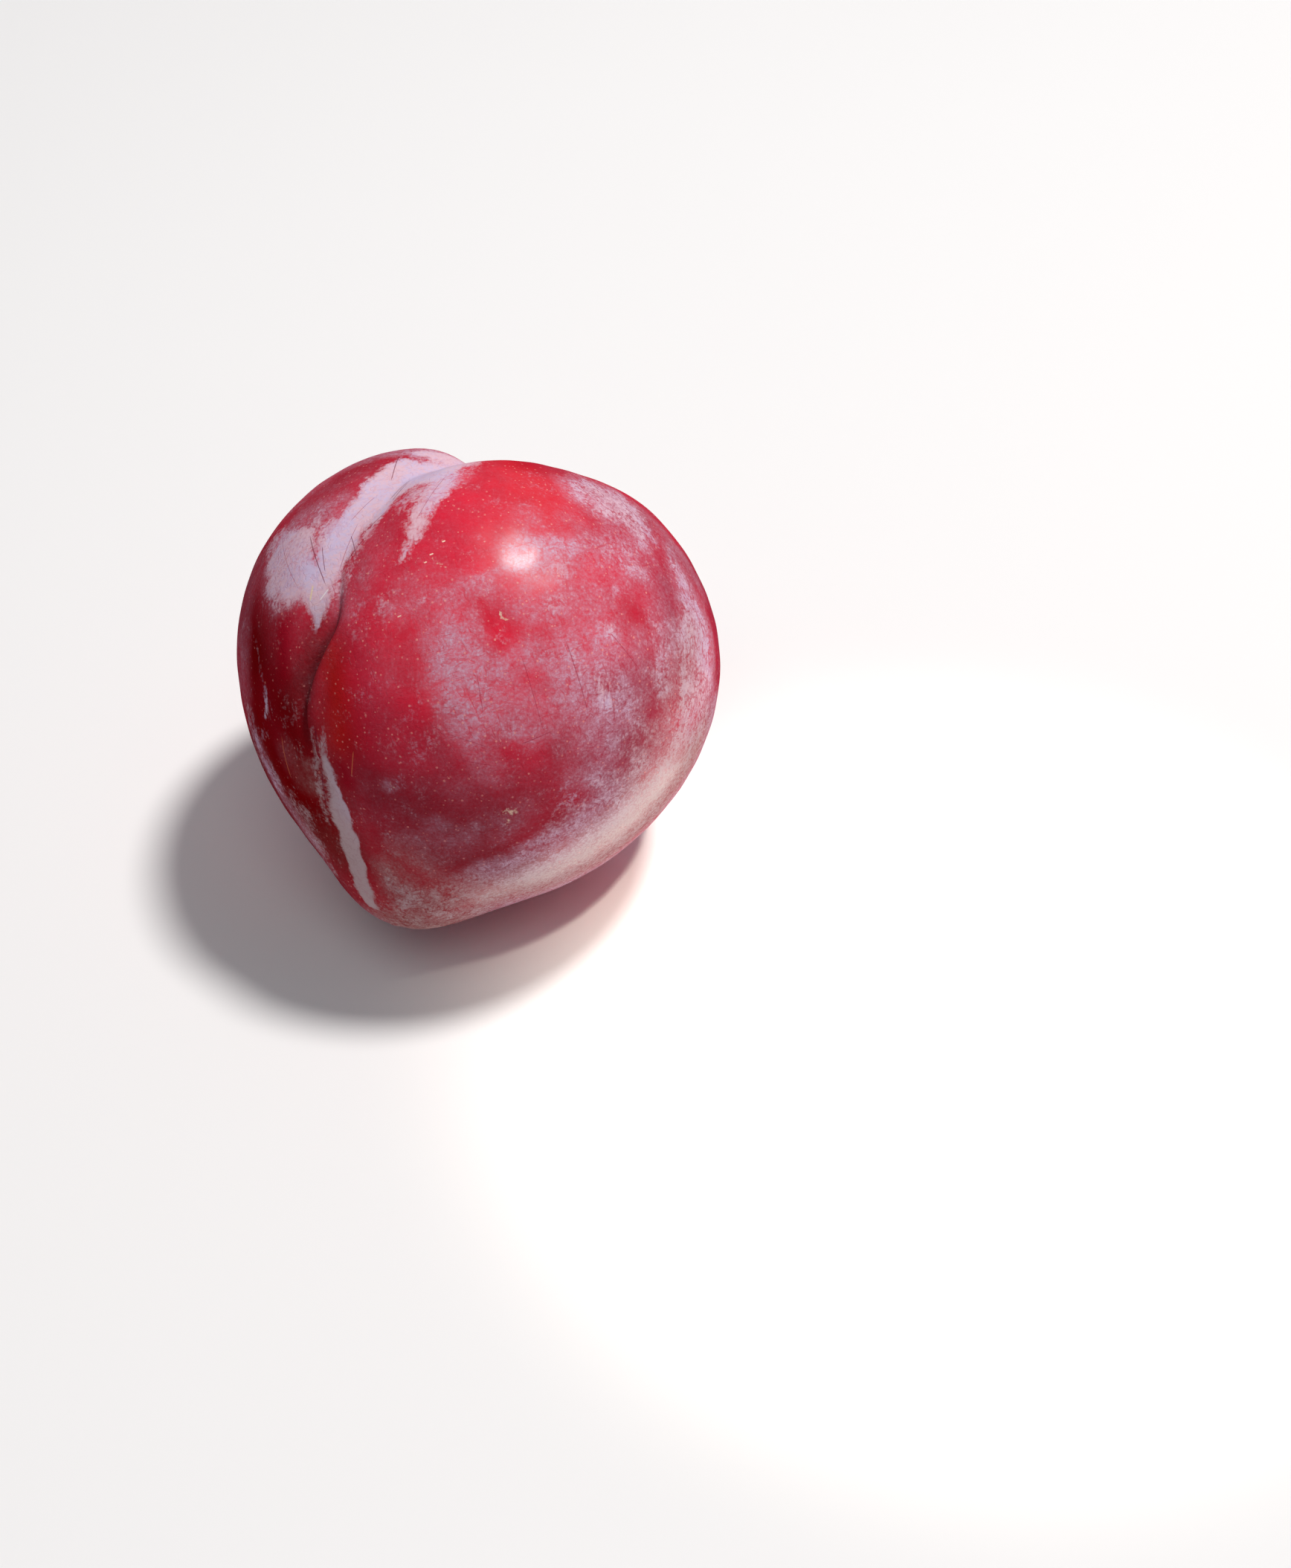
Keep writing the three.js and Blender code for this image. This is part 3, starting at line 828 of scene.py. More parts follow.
@dataclass(frozen=True)
class SkinPaint:
    """Lays the marks on the skin and gives each layer as one number or colour a corner."""

    form: FruitForm
    base_bloom: float = 0.08
    base_swing: float = 0.06
    base_waves: Ripple = Ripple(9.0, 6)
    most_bloom: float = 1.5
    hidden_bloom: float = 0.45
    hidden_swing: float = 0.22
    hidden_waves: Ripple = Ripple(17.0, 5)
    hidden_least: float = 0.08
    hidden_most: float = 0.9
    base_film: float = 0.05
    hidden_film: float = 0.16
    # painted shade that darkens the skin's colour along the crease
    painted_crease_shadow: PolarBell = PolarBell(97, 16, 0.9)
    painted_crease_shadow_width: float = 0.7
    wobble: float = 0.192  # millimetres for each unit of the ripples
    broad_wobbles: tuple[Ripple, ...] = (Ripple(4.5, 21), Ripple(4.5, 22), Ripple(4.5, 23))
    fine_wobbles: tuple[Ripple, ...] = (Ripple(1.6, 31), Ripple(1.6, 32), Ripple(1.6, 33))
    fine_share: float = 0.45
    seen_polar: float = 88.0
    seen_turn: float = 32.0
    far_side_starts: float = -0.1  # cosines to the best kept side
    far_side_whole: float = -0.5

    def wobbled(self, aim: Array) -> Array:
        """Directions pushed about by smooth ripples, so that no painted edge runs true.

        Args:
            aim: unit vectors on the fruit.

        Returns:
            Unit vectors a fraction of a millimetre away.
        """
        points = aim * self.form.body_radius
        push = np.stack(
            [
                broad.height(points) + self.fine_share * fine.height(points)
                for broad, fine in zip(self.broad_wobbles, self.fine_wobbles)
            ],
            axis=-1,
        )
        moved = points + self.wobble * push
        return moved / np.linalg.norm(moved, axis=-1)[..., None]

    def hidden(self, aim: Array) -> Array:
        """Rises from 0 on the best kept side of the fruit to 1 on its far side."""
        facing = aim @ direction_of(self.seen_polar, self.seen_turn)
        return 1.0 - smooth(self.far_side_whole, self.far_side_starts, facing)

    def lay_marks(self, marks: Sequence[Stroke], aim: Array, layer: Array) -> Array:
        """Paints marks over a layer, each one drawing it to its own amount by its cover.

        Args:
            marks: the marks, the lowest first.
            aim: unit vectors on the fruit.
            layer: the layer before the marks, one number or one colour for each vector.

        Returns:
            The layer after them.
        """
        for mark in marks:
            cover = mark.coverage(aim, self.form.body_radius) * mark.strength
            if layer.ndim > cover.ndim:
                cover = cover[..., None]
            layer = layer + (mark.target() - layer) * cover
        return layer

    def bare_bloom(self, aim: Array) -> Array:
        """Density of the bloom before the marks: even in front, in random patches behind.

        Args:
            aim: unit vectors on the fruit.

        Returns:
            Densities.
        """
        points = aim * self.form.body_radius
        patches = self.hidden_bloom + self.hidden_swing * self.hidden_waves.height(points)
        patches = np.clip(patches, self.hidden_least, self.hidden_most)
        base = self.base_bloom + self.base_swing * self.base_waves.height(points)
        return base + (patches - base) * self.hidden(aim)

    def ground(self, aim: Array) -> Array:
        """Colour of the skin under the bloom: crimson, the tints over it, and painted shade in the crease.

        Args:
            aim: unit vectors on the fruit.

        Returns:
            Linear colours.
        """
        crimson = np.broadcast_to(np.array(SkinTint.CRIMSON.value), aim.shape)
        colour = self.lay_marks(TINT_MARKS, aim, crimson)
        # painted shade: the colour is drawn towards the shadow colour down in the crease
        dark = self.painted_crease_shade(aim)[..., None]
        return colour + (np.array(SkinTint.SHADOW.value) - colour) * dark

    def painted_crease_shade(self, aim: Array) -> Array:
        """Painted shade down in the crease: exp of minus the distance from its line.

        Args:
            aim: unit vectors on the fruit.

        Returns:
            Weights of the painted shade's colour.
        """
        polar = np.degrees(np.arccos(np.clip(aim[..., 2], -1.0, 1.0)))
        turn = np.degrees(np.arctan2(aim[..., 1], aim[..., 0]))
        across = np.abs(self.form.across_crease(polar, turn))
        return sum_of_bells((self.painted_crease_shadow,), polar) * np.exp(-across / self.painted_crease_shadow_width)

    def layers(self, aim: Array) -> dict[str, Array]:
        """Works out every layer that the skin's material reads.

        Args:
            aim: unit vectors on the fruit.

        Returns:
            By name: the density of the bloom and of the film, how far painted shade greys
            them, how glossy and how corky the skin is, and its colour under the bloom.
        """
        soft = self.wobbled(aim)
        none = np.zeros(aim.shape[:-1])
        film = self.base_film + self.hidden_film * self.hidden(aim)
        bloom = self.lay_marks(BLOOM_MARKS, soft, self.bare_bloom(aim))
        return {
            "bloom": np.clip(bloom, 0.0, self.most_bloom),
            "film": np.clip(self.lay_marks(FILM_MARKS, soft, film), 0.0, 1.0),
            # painted shade, greying the wax and the film where the fruit is in shade
            "greyness": self.lay_marks(PAINTED_SHADE_MARKS, aim, none),
            "polish": np.clip(self.lay_marks(POLISH_MARKS, soft, none), 0.0, 1.0),
            "russet": self.lay_marks(RUSSET_MARKS, soft, none),
            "ground": self.ground(aim),
        }


class Signal:
    """What an output socket gives; arithmetic on it adds Math nodes to its sheet."""

    def __init__(self, sheet: NodeSheet, socket: bpy.types.NodeSocket) -> None:
        """Keeps the sheet and the socket."""
        self.sheet = sheet
        self.socket = socket

    def __add__(self, other: Input) -> Signal:
        """The sum with another number."""
        return self.sheet.math("ADD", self, other)

    def __sub__(self, other: Input) -> Signal:
        """This less another number."""
        return self.sheet.math("SUBTRACT", self, other)

    def __rsub__(self, other: float) -> Signal:
        """A plain number less this."""
        return self.sheet.math("SUBTRACT", other, self)

    def __mul__(self, other: Input) -> Signal:
        """The product with another number."""
        return self.sheet.math("MULTIPLY", self, other)

    def __rtruediv__(self, other: float) -> Signal:
        """A plain number over this."""
        return self.sheet.math("DIVIDE", other, self)

    def __abs__(self) -> Signal:
        """This without its sign."""
        return self.sheet.math("ABSOLUTE", self)

    def most(self, other: Signal) -> Signal:
        """The larger of this and another number."""
        return self.sheet.math("MAXIMUM", self, other)


Input = Union[Signal, float, Colour]


class Lumps(NamedTuple):
    """A noise: its lumps for each unit, its octaves, and how strong the fine ones are."""

    scale: float
    detail: float
    rough: float = 0.55


class Ramp(NamedTuple):
    """A smooth rise from start to end while a value goes from low to high."""

    low: float
    high: float
    start: float = 0.0
    end: float = 1.0


class Pattern(NamedTuple):
    """Small marks in millimetres: how far apart, how wide, and the share that shows."""

    spacing: float
    size: float
    share: float


class NodeSheet:
    """Adds nodes to one node tree and joins them."""

    def __init__(self, tree: bpy.types.NodeTree) -> None:
        """Keeps the tree that the nodes go into."""
        self.tree = tree

    @classmethod
    def cleared(cls, owner: bpy.types.Material | bpy.types.World) -> NodeSheet:
        """Empties the nodes of a material or a world.

        Args:
            owner: the material or the world.

        Returns:
            A sheet on its tree.
        """
        owner.use_nodes = True
        owner.node_tree.nodes.clear()
        return cls(owner.node_tree)

    def add(
        self, kind: str, inputs: dict[str | int, Input] | None = None, **settings: Any
    ) -> bpy.types.Node:
        """Adds a node.

        Args:
            kind: Blender's name of the node type, without "ShaderNode" in front.
            inputs: values or signals for its inputs, by name or number.
            **settings: other properties of the node.

        Returns:
            The node.
        """
        node = self.tree.nodes.new("ShaderNode" + kind)
        for name, value in settings.items():
            setattr(node, name, value)
        for key, value in (inputs or {}).items():
            if isinstance(value, Signal):
                self.tree.links.new(value.socket, node.inputs[key])
            else:
                node.inputs[key].default_value = value
        return node

    def read(self, node: bpy.types.Node, output: str | int) -> Signal:
        """What one output of a node gives."""
        return Signal(self, node.outputs[output])

    def math(self, operation: str, a: Input, b: Input = 0.0, clamp: bool = False) -> Signal:
        """Result of a Math node on a and b."""
        return self.read(self.add("Math", {0: a, 1: b}, operation=operation, use_clamp=clamp), 0)

    def vector(self, operation: str, a: Signal, b: Input = (0.0, 0.0, 0.0)) -> Signal:
        """Result of a Vector Math node: a number for a dot product, otherwise a vector."""
        node = self.add("VectorMath", {0: a, 1: b}, operation=operation)
        return self.read(node, "Value" if operation == "DOT_PRODUCT" else "Vector")

    def scaled(self, vector: Signal, scale: Input) -> Signal:
        """A vector times a number."""
        return self.read(self.add("VectorMath", {0: vector, "Scale": scale}, operation="SCALE"), "Vector")

    def turned(self, vector: Signal, degrees: float, axis: str = "Z_AXIS") -> Signal:
        """A vector turned about an axis, z where none is named."""
        inputs = {"Vector": vector, "Angle": math.radians(degrees)}
        return self.read(self.add("VectorRotate", inputs, rotation_type=axis), 0)

    def rise(self, value: Signal, low: Input, high: Input, start: Input = 0.0, end: Input = 1.0) -> Signal:
        """Smooth rise from start to end as the value goes from low to high."""
        inputs = {"Value": value, "From Min": low, "From Max": high, "To Min": start, "To Max": end}
        return self.read(self.add("MapRange", inputs, interpolation_type="SMOOTHSTEP"), "Result")

    def mix(self, factor: Signal, a: Input, b: Input, blend: str = "MIX") -> Signal:
        """Colour between a and b."""
        a, b = (colour if isinstance(colour, Signal) else (*colour, 1.0) for colour in (a, b))
        return self.read(self.add("Mix", {0: factor, 6: a, 7: b}, data_type="RGBA", blend_type=blend), 2)

    def between(self, factor: Input, a: Signal, b: Signal) -> Signal:
        """Number between a and b."""
        return self.read(self.add("Mix", {0: factor, 2: a, 3: b}), 0)

    def noise(self, vector: Signal, lumps: Lumps, output: str | int = 0) -> Signal:
        """Noise, about 0.5 on average.

        Args:
            vector: places in the unit that the lumps' scale is given for.
            lumps: its scale, octaves and roughness.
            output: the node's output, "Color" for three numbers instead of one.

        Returns:
            The noise.
        """
        scale, detail, rough = lumps
        inputs = {"Vector": vector, "Scale": scale, "Detail": detail, "Roughness": rough}
        return self.read(self.add("TexNoise", inputs), output)

    def group(self, shared: bpy.types.NodeTree, inputs: dict[str, Input]) -> Signal:
        """Places a shared group with its own values and gives its one output."""
        return self.read(self.add("Group", inputs, node_tree=shared), 0)

    def pattern(self, shared: bpy.types.NodeTree, place: Signal, pattern: Pattern) -> Signal:
        """Places a shared group that draws small marks and gives their mask."""
        spacing, size, share = pattern
        return self.group(shared, {"Place": place, "Spacing": spacing, "Size": size, "Share": share})

    def join_output(self, output: str, shader: bpy.types.Node) -> None:
        """Joins a shader to a new output node."""
        self.tree.links.new(shader.outputs[0], self.add(output).inputs["Surface"])


class GroupSheet(NodeSheet):
    """The nodes of a shared group, with the signals that are given to it."""

    def __init__(self, name: str, output: str, vectors: Sequence[str], numbers: Sequence[str]) -> None:
        """Makes the group's tree and its sockets.

        Args:
            name: the group's name.
            output: name of its one output, a number.
            vectors: names of the inputs that are vectors.
            numbers: names of the inputs that are numbers.
        """
        super().__init__(bpy.data.node_groups.new(name, "ShaderNodeTree"))
        self.output = output
        sockets = self.tree.interface
        for labels, kind in ((vectors, "NodeSocketVector"), (numbers, "NodeSocketFloat")):
            for label in labels:
                sockets.new_socket(label, in_out="INPUT", socket_type=kind)
        sockets.new_socket(output, in_out="OUTPUT", socket_type="NodeSocketFloat")
        node = self.tree.nodes.new("NodeGroupInput")
        self.given = [self.read(node, label) for label in (*vectors, *numbers)]

    def give(self, result: Signal) -> bpy.types.NodeTree:
        """Sends a result out of the group.

        Args:
            result: what the group puts out.

        Returns:
            The group's tree.
        """
        node = self.tree.nodes.new("NodeGroupOutput")
        self.tree.links.new(result.socket, node.inputs[self.output])
        return self.tree


@dataclass(frozen=True)
class SharedEffects:
    """Node groups of small marks and ragged edges, each built once."""

    dot_sizes: Ramp = Ramp(0.0, 1.0, 0.7, 1.25)
    dot_core: float = 0.55
    dot_strengths: Ramp = Ramp(0.1, 0.9, 0.3, 1.0)
    crack_bends: Lumps = Lumps(1.3, 2.0, 0.5)
    crack_bend: float = 0.9
    crack_picks: Lumps = Lumps(0.9, 2.0)
    crack_fade: float = 0.1
    scratch_lines: Lumps = Lumps(1.0, 1.5, 0.5)
    scratch_core: float = 0.3
    scratch_picks: Lumps = Lumps(1.1, 1.0)
    scratch_fade: float = 0.08
    scratch_pick_shift: tuple[float, float, float] = (31.0, 17.0, 7.0)
    hairline_taper: Ramp = Ramp(0.0, 0.5)
    hairline_core: float = 0.5
    hairline_edge: float = 0.01

    @staticmethod
    def _marks(name: str) -> GroupSheet:
        """Starts a group of small marks, whose sockets are those of a Pattern."""
        return GroupSheet(name, "Mask", ("Place",), ("Spacing", "Size", "Share"))

    @cached_property
    def dots(self) -> bpy.types.NodeTree:
        """Small round dots: one in each cell of a 3-D Voronoi, where the skin cuts near it.

        Returns:
            The group's tree.
        """
        sheet = self._marks("skin_dots")
        place, spacing, radius, share = sheet.given
        cells = sheet.add("TexVoronoi", {"Vector": place, "Scale": 1.0 / spacing})
        away = sheet.read(cells, "Distance") * spacing
        chance = sheet.add("SeparateColor", {"Color": sheet.read(cells, "Color")})
        size = radius * sheet.rise(sheet.read(chance, "Green"), *self.dot_sizes)
        dot = sheet.rise(away, size * self.dot_core, size, 1.0, 0.0)
        kept = sheet.math("LESS_THAN", sheet.read(chance, "Red"), share)
        return sheet.give(dot * (kept * sheet.rise(sheet.read(chance, "Blue"), *self.dot_strengths)))

    @cached_property
    def ragged(self) -> bpy.types.NodeTree:
        """Turns a painted density into a cover with ragged edges and thin places.

        Two noises are added to the density, and the cover rises where the sum passes 0.5.

        Returns:
            The group's tree.
        """
        sheet = GroupSheet("ragged_cover", "Cover", (), ("Density", "Broad", "Fine", "Swing", "Edge"))
        density, broad, fine, swing, edge = sheet.given
        total = density + (broad + fine - 1.0) * swing
        return sheet.give(sheet.rise(total, 0.5 - edge, edge + 0.5))

    @cached_property
    def cracks(self) -> bpy.types.NodeTree:
        """Short fine cracks: parts of the bent walls between 3-D Voronoi cells.

        Returns:
            The group's tree.
        """
        sheet = self._marks("wax_cracks")
        place, spacing, width, share = sheet.given
        scaled = sheet.scaled(place, 1.0 / spacing)
        bends = sheet.noise(scaled, self.crack_bends, "Color")
        shift = sheet.vector("SUBTRACT", bends, (0.5, 0.5, 0.5))
        bent = sheet.vector("ADD", scaled, sheet.scaled(shift, self.crack_bend))
        cells = sheet.add("TexVoronoi", {"Vector": bent, "Scale": 1.0}, feature="DISTANCE_TO_EDGE")
        line = sheet.rise(sheet.read(cells, "Distance") * spacing, 0.0, width, 1.0, 0.0)
        pick = sheet.noise(scaled, self.crack_picks)
        limit = 1.0 - share
        return sheet.give(line * sheet.rise(pick, limit, limit + self.crack_fade))

    @cached_property
    def scratches(self) -> bpy.types.NodeTree:
        """Short curved scratches: parts of the lines where a noise passes its middle value.

        Returns:
            The group's tree.
        """
        sheet = self._marks("wax_scratches")
        place, spacing, width, share = sheet.given
        scaled = sheet.scaled(place, 1.0 / spacing)
        away = abs(sheet.noise(scaled, self.scratch_lines) - 0.5) * spacing
        line = sheet.rise(away, width * self.scratch_core, width, 1.0, 0.0)
        pick = sheet.noise(sheet.vector("ADD", scaled, self.scratch_pick_shift), self.scratch_picks)
        limit = 1.0 - share
        return sheet.give(line * sheet.rise(pick, limit, limit + self.scratch_fade))

    @cached_property
    def hairline(self) -> bpy.types.NodeTree:
        """A fine line on the skin along the arc about an axis, as long as Reach allows.

        Its distance is the arc's offset from the plane across the axis; the line ends where
        the cosine to its middle falls under Reach.

        Returns:
            The group's tree.
        """
        sheet = GroupSheet("hairline", "Mask", ("Aim", "Axis", "Middle"), ("Reach", "Width"))
        aim, axis, middle, reach, full_width = sheet.given
        away = abs(sheet.vector("DOT_PRODUCT", aim, axis)) * FruitForm.body_radius
        inside = sheet.vector("DOT_PRODUCT", aim, middle) - reach
        taper = sheet.math("DIVIDE", inside, 1.0 - reach, clamp=True)
        width = full_width * sheet.rise(taper, *self.hairline_taper)
        line = sheet.rise(away, width * self.hairline_core, width + self.hairline_edge, 1.0, 0.0)
        return sheet.give(line * sheet.math("GREATER_THAN", taper, 0.0))


@dataclass(frozen=True)
class SkinFinish:
    """Colours, gloss and small marks of the skin, with lengths in millimetres."""

    bloom_cool: Colour = (0.6, 0.5, 0.7)
    bloom_warm: Colour = (0.72, 0.49, 0.58)
    # the bloom's colour under painted shade
    bloom_in_painted_shade: Colour = (0.45, 0.325, 0.345)
    film_colour: Colour = (0.58, 0.4, 0.54)
    # the film's colour under painted shade
    film_in_painted_shade: Colour = (0.47, 0.325, 0.325)
    dot_colour: Colour = (0.82, 0.31, 0.28)
    russet_colour: Colour = (0.76, 0.54, 0.42)
    shade_colour: Colour = (0.5, 0.35, 0.4)
    clean_roughness: float = 0.4
    bloom_roughness: float = 0.8
    coat_roughness: float = 0.33
    coat_ior: float = 1.5
    specular: float = 0.0
    relief: float = 0.05
    relief_strength: float = 0.8
    dot_relief: float = 0.5
    grain_relief: float = 0.6
    crack_relief: float = 0.5
    cloud: Lumps = Lumps(0.4, 5.0, 0.62)
    grain: Lumps = Lumps(2.2, 3.0, 0.6)
    blotch: Lumps = Lumps(0.16, 3.0, 0.5)
    speck: Lumps = Lumps(3.4, 3.0, 0.65)
    rub: Lumps = Lumps(1.0, 3.0, 0.6)
    rub_turn: float = 13.8
    rub_tilt: float = 46.9
    rub_across: tuple[float, float, float] = (0.5, 3.4, 3.4)
    rub_along: tuple[float, float, float] = (3.2, 0.5, 3.2)
    rub_choice: Ramp = Ramp(0.46, 0.54)
    rub_share: float = 0.4
    fringe: Ramp = Ramp(0.4, 0.9, 0.35, 0.75)
    shade: Ramp = Ramp(0.55, 0.95)
    shade_cloud: float = 0.5
    shade_depth: float = 0.35
    small_dots: Pattern = Pattern(0.72, 0.145, 0.85)
    large_dots: Pattern = Pattern(1.5, 0.17, 0.6)
    dots_by_redness: Ramp = Ramp(0.12, 0.6, 0.3, 0.64)
    scratch_slant: float = -18.0
    steep_stretch: tuple[float, float, float] = (1.0, 0.36, 0.8)
    steep_scratches: Pattern = Pattern(1.0, 0.05, 0.5)
    level_stretch: tuple[float, float, float] = (0.34, 1.0, 0.8)
    level_scratches: Pattern = Pattern(0.6, 0.045, 0.52)
    level_share: float = 0.8
    scratched_thin: Ramp = Ramp(0.14, 0.4, 0.0, 0.5)
    scratched_thick: Ramp = Ramp(0.6, 0.95, 1.0, 0.4)
    film_specks: Ramp = Ramp(0.4, 0.68, 0.8, 1.45)
    film_clouds: float = 0.8
    film_rubs: float = 0.9
    film_unevenness: Ramp = Ramp(0.5, 1.2)
    film_least: Ramp = Ramp(0.2, 0.8, 0.3, 0.75)
    bloom_swing: float = 1.5
    bloom_edge: float = 0.3
    bloom_fringe: float = 0.7
    bloom_density: float = 0.5
    bloom_body: Ramp = Ramp(0.45, 1.0, 0.45, 0.97)
    wide_cracks: Pattern = Pattern(2.4, 0.07, 0.5)
    crack_scratches: float = 0.8
    crack_depth: Ramp = Ramp(0.5, 1.1, 0.6, 0.15)
    tone_blotch: float = 0.6
    tone_grain: float = 0.4
    tone: Ramp = Ramp(0.4, 0.6)
    cork_grain: float = 1.2
    cork_edge: Ramp = Ramp(1.05, 1.35)
    cork_least: Ramp = Ramp(0.05, 0.3)
    cork_cover: float = 0.8


class SkinShader:
    """Works the skin's look out of its painted layers, in one material."""

    def __init__(self, form: FruitForm, finish: SkinFinish, effects: SharedEffects) -> None:
        """Makes the material and reads the layers and the noises that its parts share.

        Args:
            form: the fruit's form, which lays the fine lines down.
            finish: the colours, gloss and small marks.
            effects: the shared node groups.
        """
        self.form = form
        self.finish = finish
        self.effects = effects
        self.material = bpy.data.materials.new("plum_skin")
        self.sheet = sheet = NodeSheet.cleared(self.material)
        self.place = sheet.scaled(sheet.read(sheet.add("TexCoord"), "Object"), 1.0 / MM)
        self.density, self.film, self.greyness, self.polish, self.russet = (
            sheet.read(sheet.add("Attribute", attribute_name=name), "Fac")
            for name in ("bloom", "film", "greyness", "polish", "russet")
        )
        self.cloud = sheet.noise(self.place, finish.cloud)
        self.grain = sheet.noise(self.place, finish.grain)
        self.blotch = sheet.noise(self.place, finish.blotch)
        turned = sheet.turned(self.place, -finish.rub_turn)
        self.tilted = sheet.turned(turned, -finish.rub_tilt, "X_AXIS")
        self.along = sheet.noise(sheet.vector("MULTIPLY", self.tilted, finish.rub_along), finish.rub)
        self.fringe = sheet.between(sheet.rise(self.density, *finish.fringe), self.grain, self.along)

    def ground(self) -> Signal:
        """The painted colour under the bloom, with a little unevenness.

        Returns:
            A colour.
        """
        sheet, finish = self.sheet, self.finish
        ground = sheet.read(sheet.add("Attribute", attribute_name="ground"), "Color")
        shade = sheet.rise(self.blotch + self.cloud * finish.shade_cloud, *finish.shade)
        return sheet.mix(shade * finish.shade_depth, ground, finish.shade_colour, "MULTIPLY")

    def dots(self, ground: Signal) -> Signal:
        """Fine and larger pale dots, stronger where the ground is red.

        Args:
            ground: colour under the bloom.

        Returns:
            A mask.
        """
        sheet, finish, shared = self.sheet, self.finish, self.effects.dots
        fine = sheet.pattern(shared, self.place, finish.small_dots)
        dots = fine.most(sheet.pattern(shared, self.place, finish.large_dots))
        redness = sheet.read(sheet.add("SeparateColor", {"Color": ground}), "Red")
        return dots * sheet.rise(redness, *finish.dots_by_redness)

    def scratches(self) -> Signal:
        """Fine scratches in the wax: steep ones, and slighter ones that lie across them.

        Returns:
            A mask, 1 on the steep scratches.
        """
        sheet, finish, shared = self.sheet, self.finish, self.effects.scratches
        slanted = sheet.turned(self.tilted, finish.scratch_slant)
        steep = sheet.vector("MULTIPLY", slanted, finish.steep_stretch)
        level = sheet.vector("MULTIPLY", slanted, finish.level_stretch)
        slight = sheet.pattern(shared, level, finish.level_scratches) * finish.level_share
        return sheet.pattern(shared, steep, finish.steep_scratches).most(slight)

    def thin_wax(self, scratches: Signal) -> Signal:
        """Cover of the thin film: its density times clouds, rubs and specks, less scratches.

        Args:
            scratches: mask of the scratches.

        Returns:
            The cover, 0 to 1.
        """
        sheet, finish, film = self.sheet, self.finish, self.film
        across = sheet.noise(sheet.vector("MULTIPLY", self.tilted, finish.rub_across), finish.rub)
        rubs = sheet.between(sheet.rise(self.blotch, *finish.rub_choice), across, self.along)
        rubs = sheet.between(finish.rub_share, self.grain, rubs)
        scratched = scratches * sheet.rise(film, *finish.scratched_thin)
        scratched = scratched * sheet.rise(film, *finish.scratched_thick)
        uneven = self.cloud * finish.film_clouds + rubs * finish.film_rubs
        least = sheet.rise(film, *finish.film_least)
        low, high = finish.film_unevenness[:2]
        specks = sheet.rise(sheet.noise(self.place, finish.speck), *finish.film_specks)
        thin = film * sheet.rise(uneven, low, high, least, 2.0 - least) * specks
        return sheet.math("MULTIPLY", thin, 1.0 - scratched, clamp=True)

    def thick_wax(self, cracks: Signal) -> Signal:
        """Cover of the thick bloom: ragged at its edge, thicker inside, open in the cracks.

        Args:
            cracks: mask of the cracks and scratches.

        Returns:
            The cover, 0 to 1.
        """
        sheet, finish, density = self.sheet, self.finish, self.density
        crust = {"Density": density, "Broad": self.cloud, "Fine": self.fringe}
        crust |= {"Swing": finish.bloom_swing, "Edge": finish.bloom_edge}
        body = self.fringe * finish.bloom_fringe + density * finish.bloom_density
        open_wax = cracks * sheet.rise(density, *finish.crack_depth)
        cover = sheet.group(self.effects.ragged, crust)
        return cover * (sheet.rise(body, *finish.bloom_body) - open_wax)

    def wax_colour(self) -> Signal:
        """Colour of the thick bloom: cool or warm by its tone, and greyer where shade is painted on it.

        Returns:
            A colour.
        """
        sheet, finish = self.sheet, self.finish
        tone = self.blotch * finish.tone_blotch + self.grain * finish.tone_grain
        wax = sheet.mix(sheet.rise(tone, *finish.tone), finish.bloom_cool, finish.bloom_warm)
        return sheet.mix(self.greyness, wax, finish.bloom_in_painted_shade)

    def with_cork(self, colour: Signal) -> Signal:
        """Lays the russet over a colour, ragged by the grain.

        Args:
            colour: colour of the skin and its wax.

        Returns:
            The colour with the russet on it.
        """
        sheet, finish = self.sheet, self.finish
        cork = sheet.rise(self.russet + self.grain * finish.cork_grain, *finish.cork_edge)
        cork = cork * sheet.rise(self.russet, *finish.cork_least)
        return sheet.mix(cork * finish.cork_cover, colour, finish.russet_colour)

    def with_hairlines(self, colour: Signal) -> Signal:
        """Draws the fine lines over a colour.

        Args:
            colour: colour of the skin and its wax.

        Returns:
            The colour with the lines on it.
        """
        sheet, shared = self.sheet, self.effects.hairline
        aim = sheet.vector("SUBTRACT", self.place, (0.0, 0.0, self.form.rest_height))
        aim = sheet.vector("NORMALIZE", aim)
        for line in HAIRLINES:
            mask = sheet.group(shared, {"Aim": aim, **line.inputs(self.form)})
            colour = sheet.mix(mask * line.strength, colour, line.tint.value)
        return colour

    def build(self) -> bpy.types.Material:
        """Joins skin, dots, film, bloom, russet and lines, and gives them gloss and relief.

        Returns:
            The material.
        """
        sheet, finish = self.sheet, self.finish
        ground, scratches = self.ground(), self.scratches()
        cracks = sheet.pattern(self.effects.cracks, self.place, finish.wide_cracks)
        cracks = cracks.most(scratches * finish.crack_scratches)
        dots = self.dots(ground)
        thin, thick = self.thin_wax(scratches), self.thick_wax(cracks)
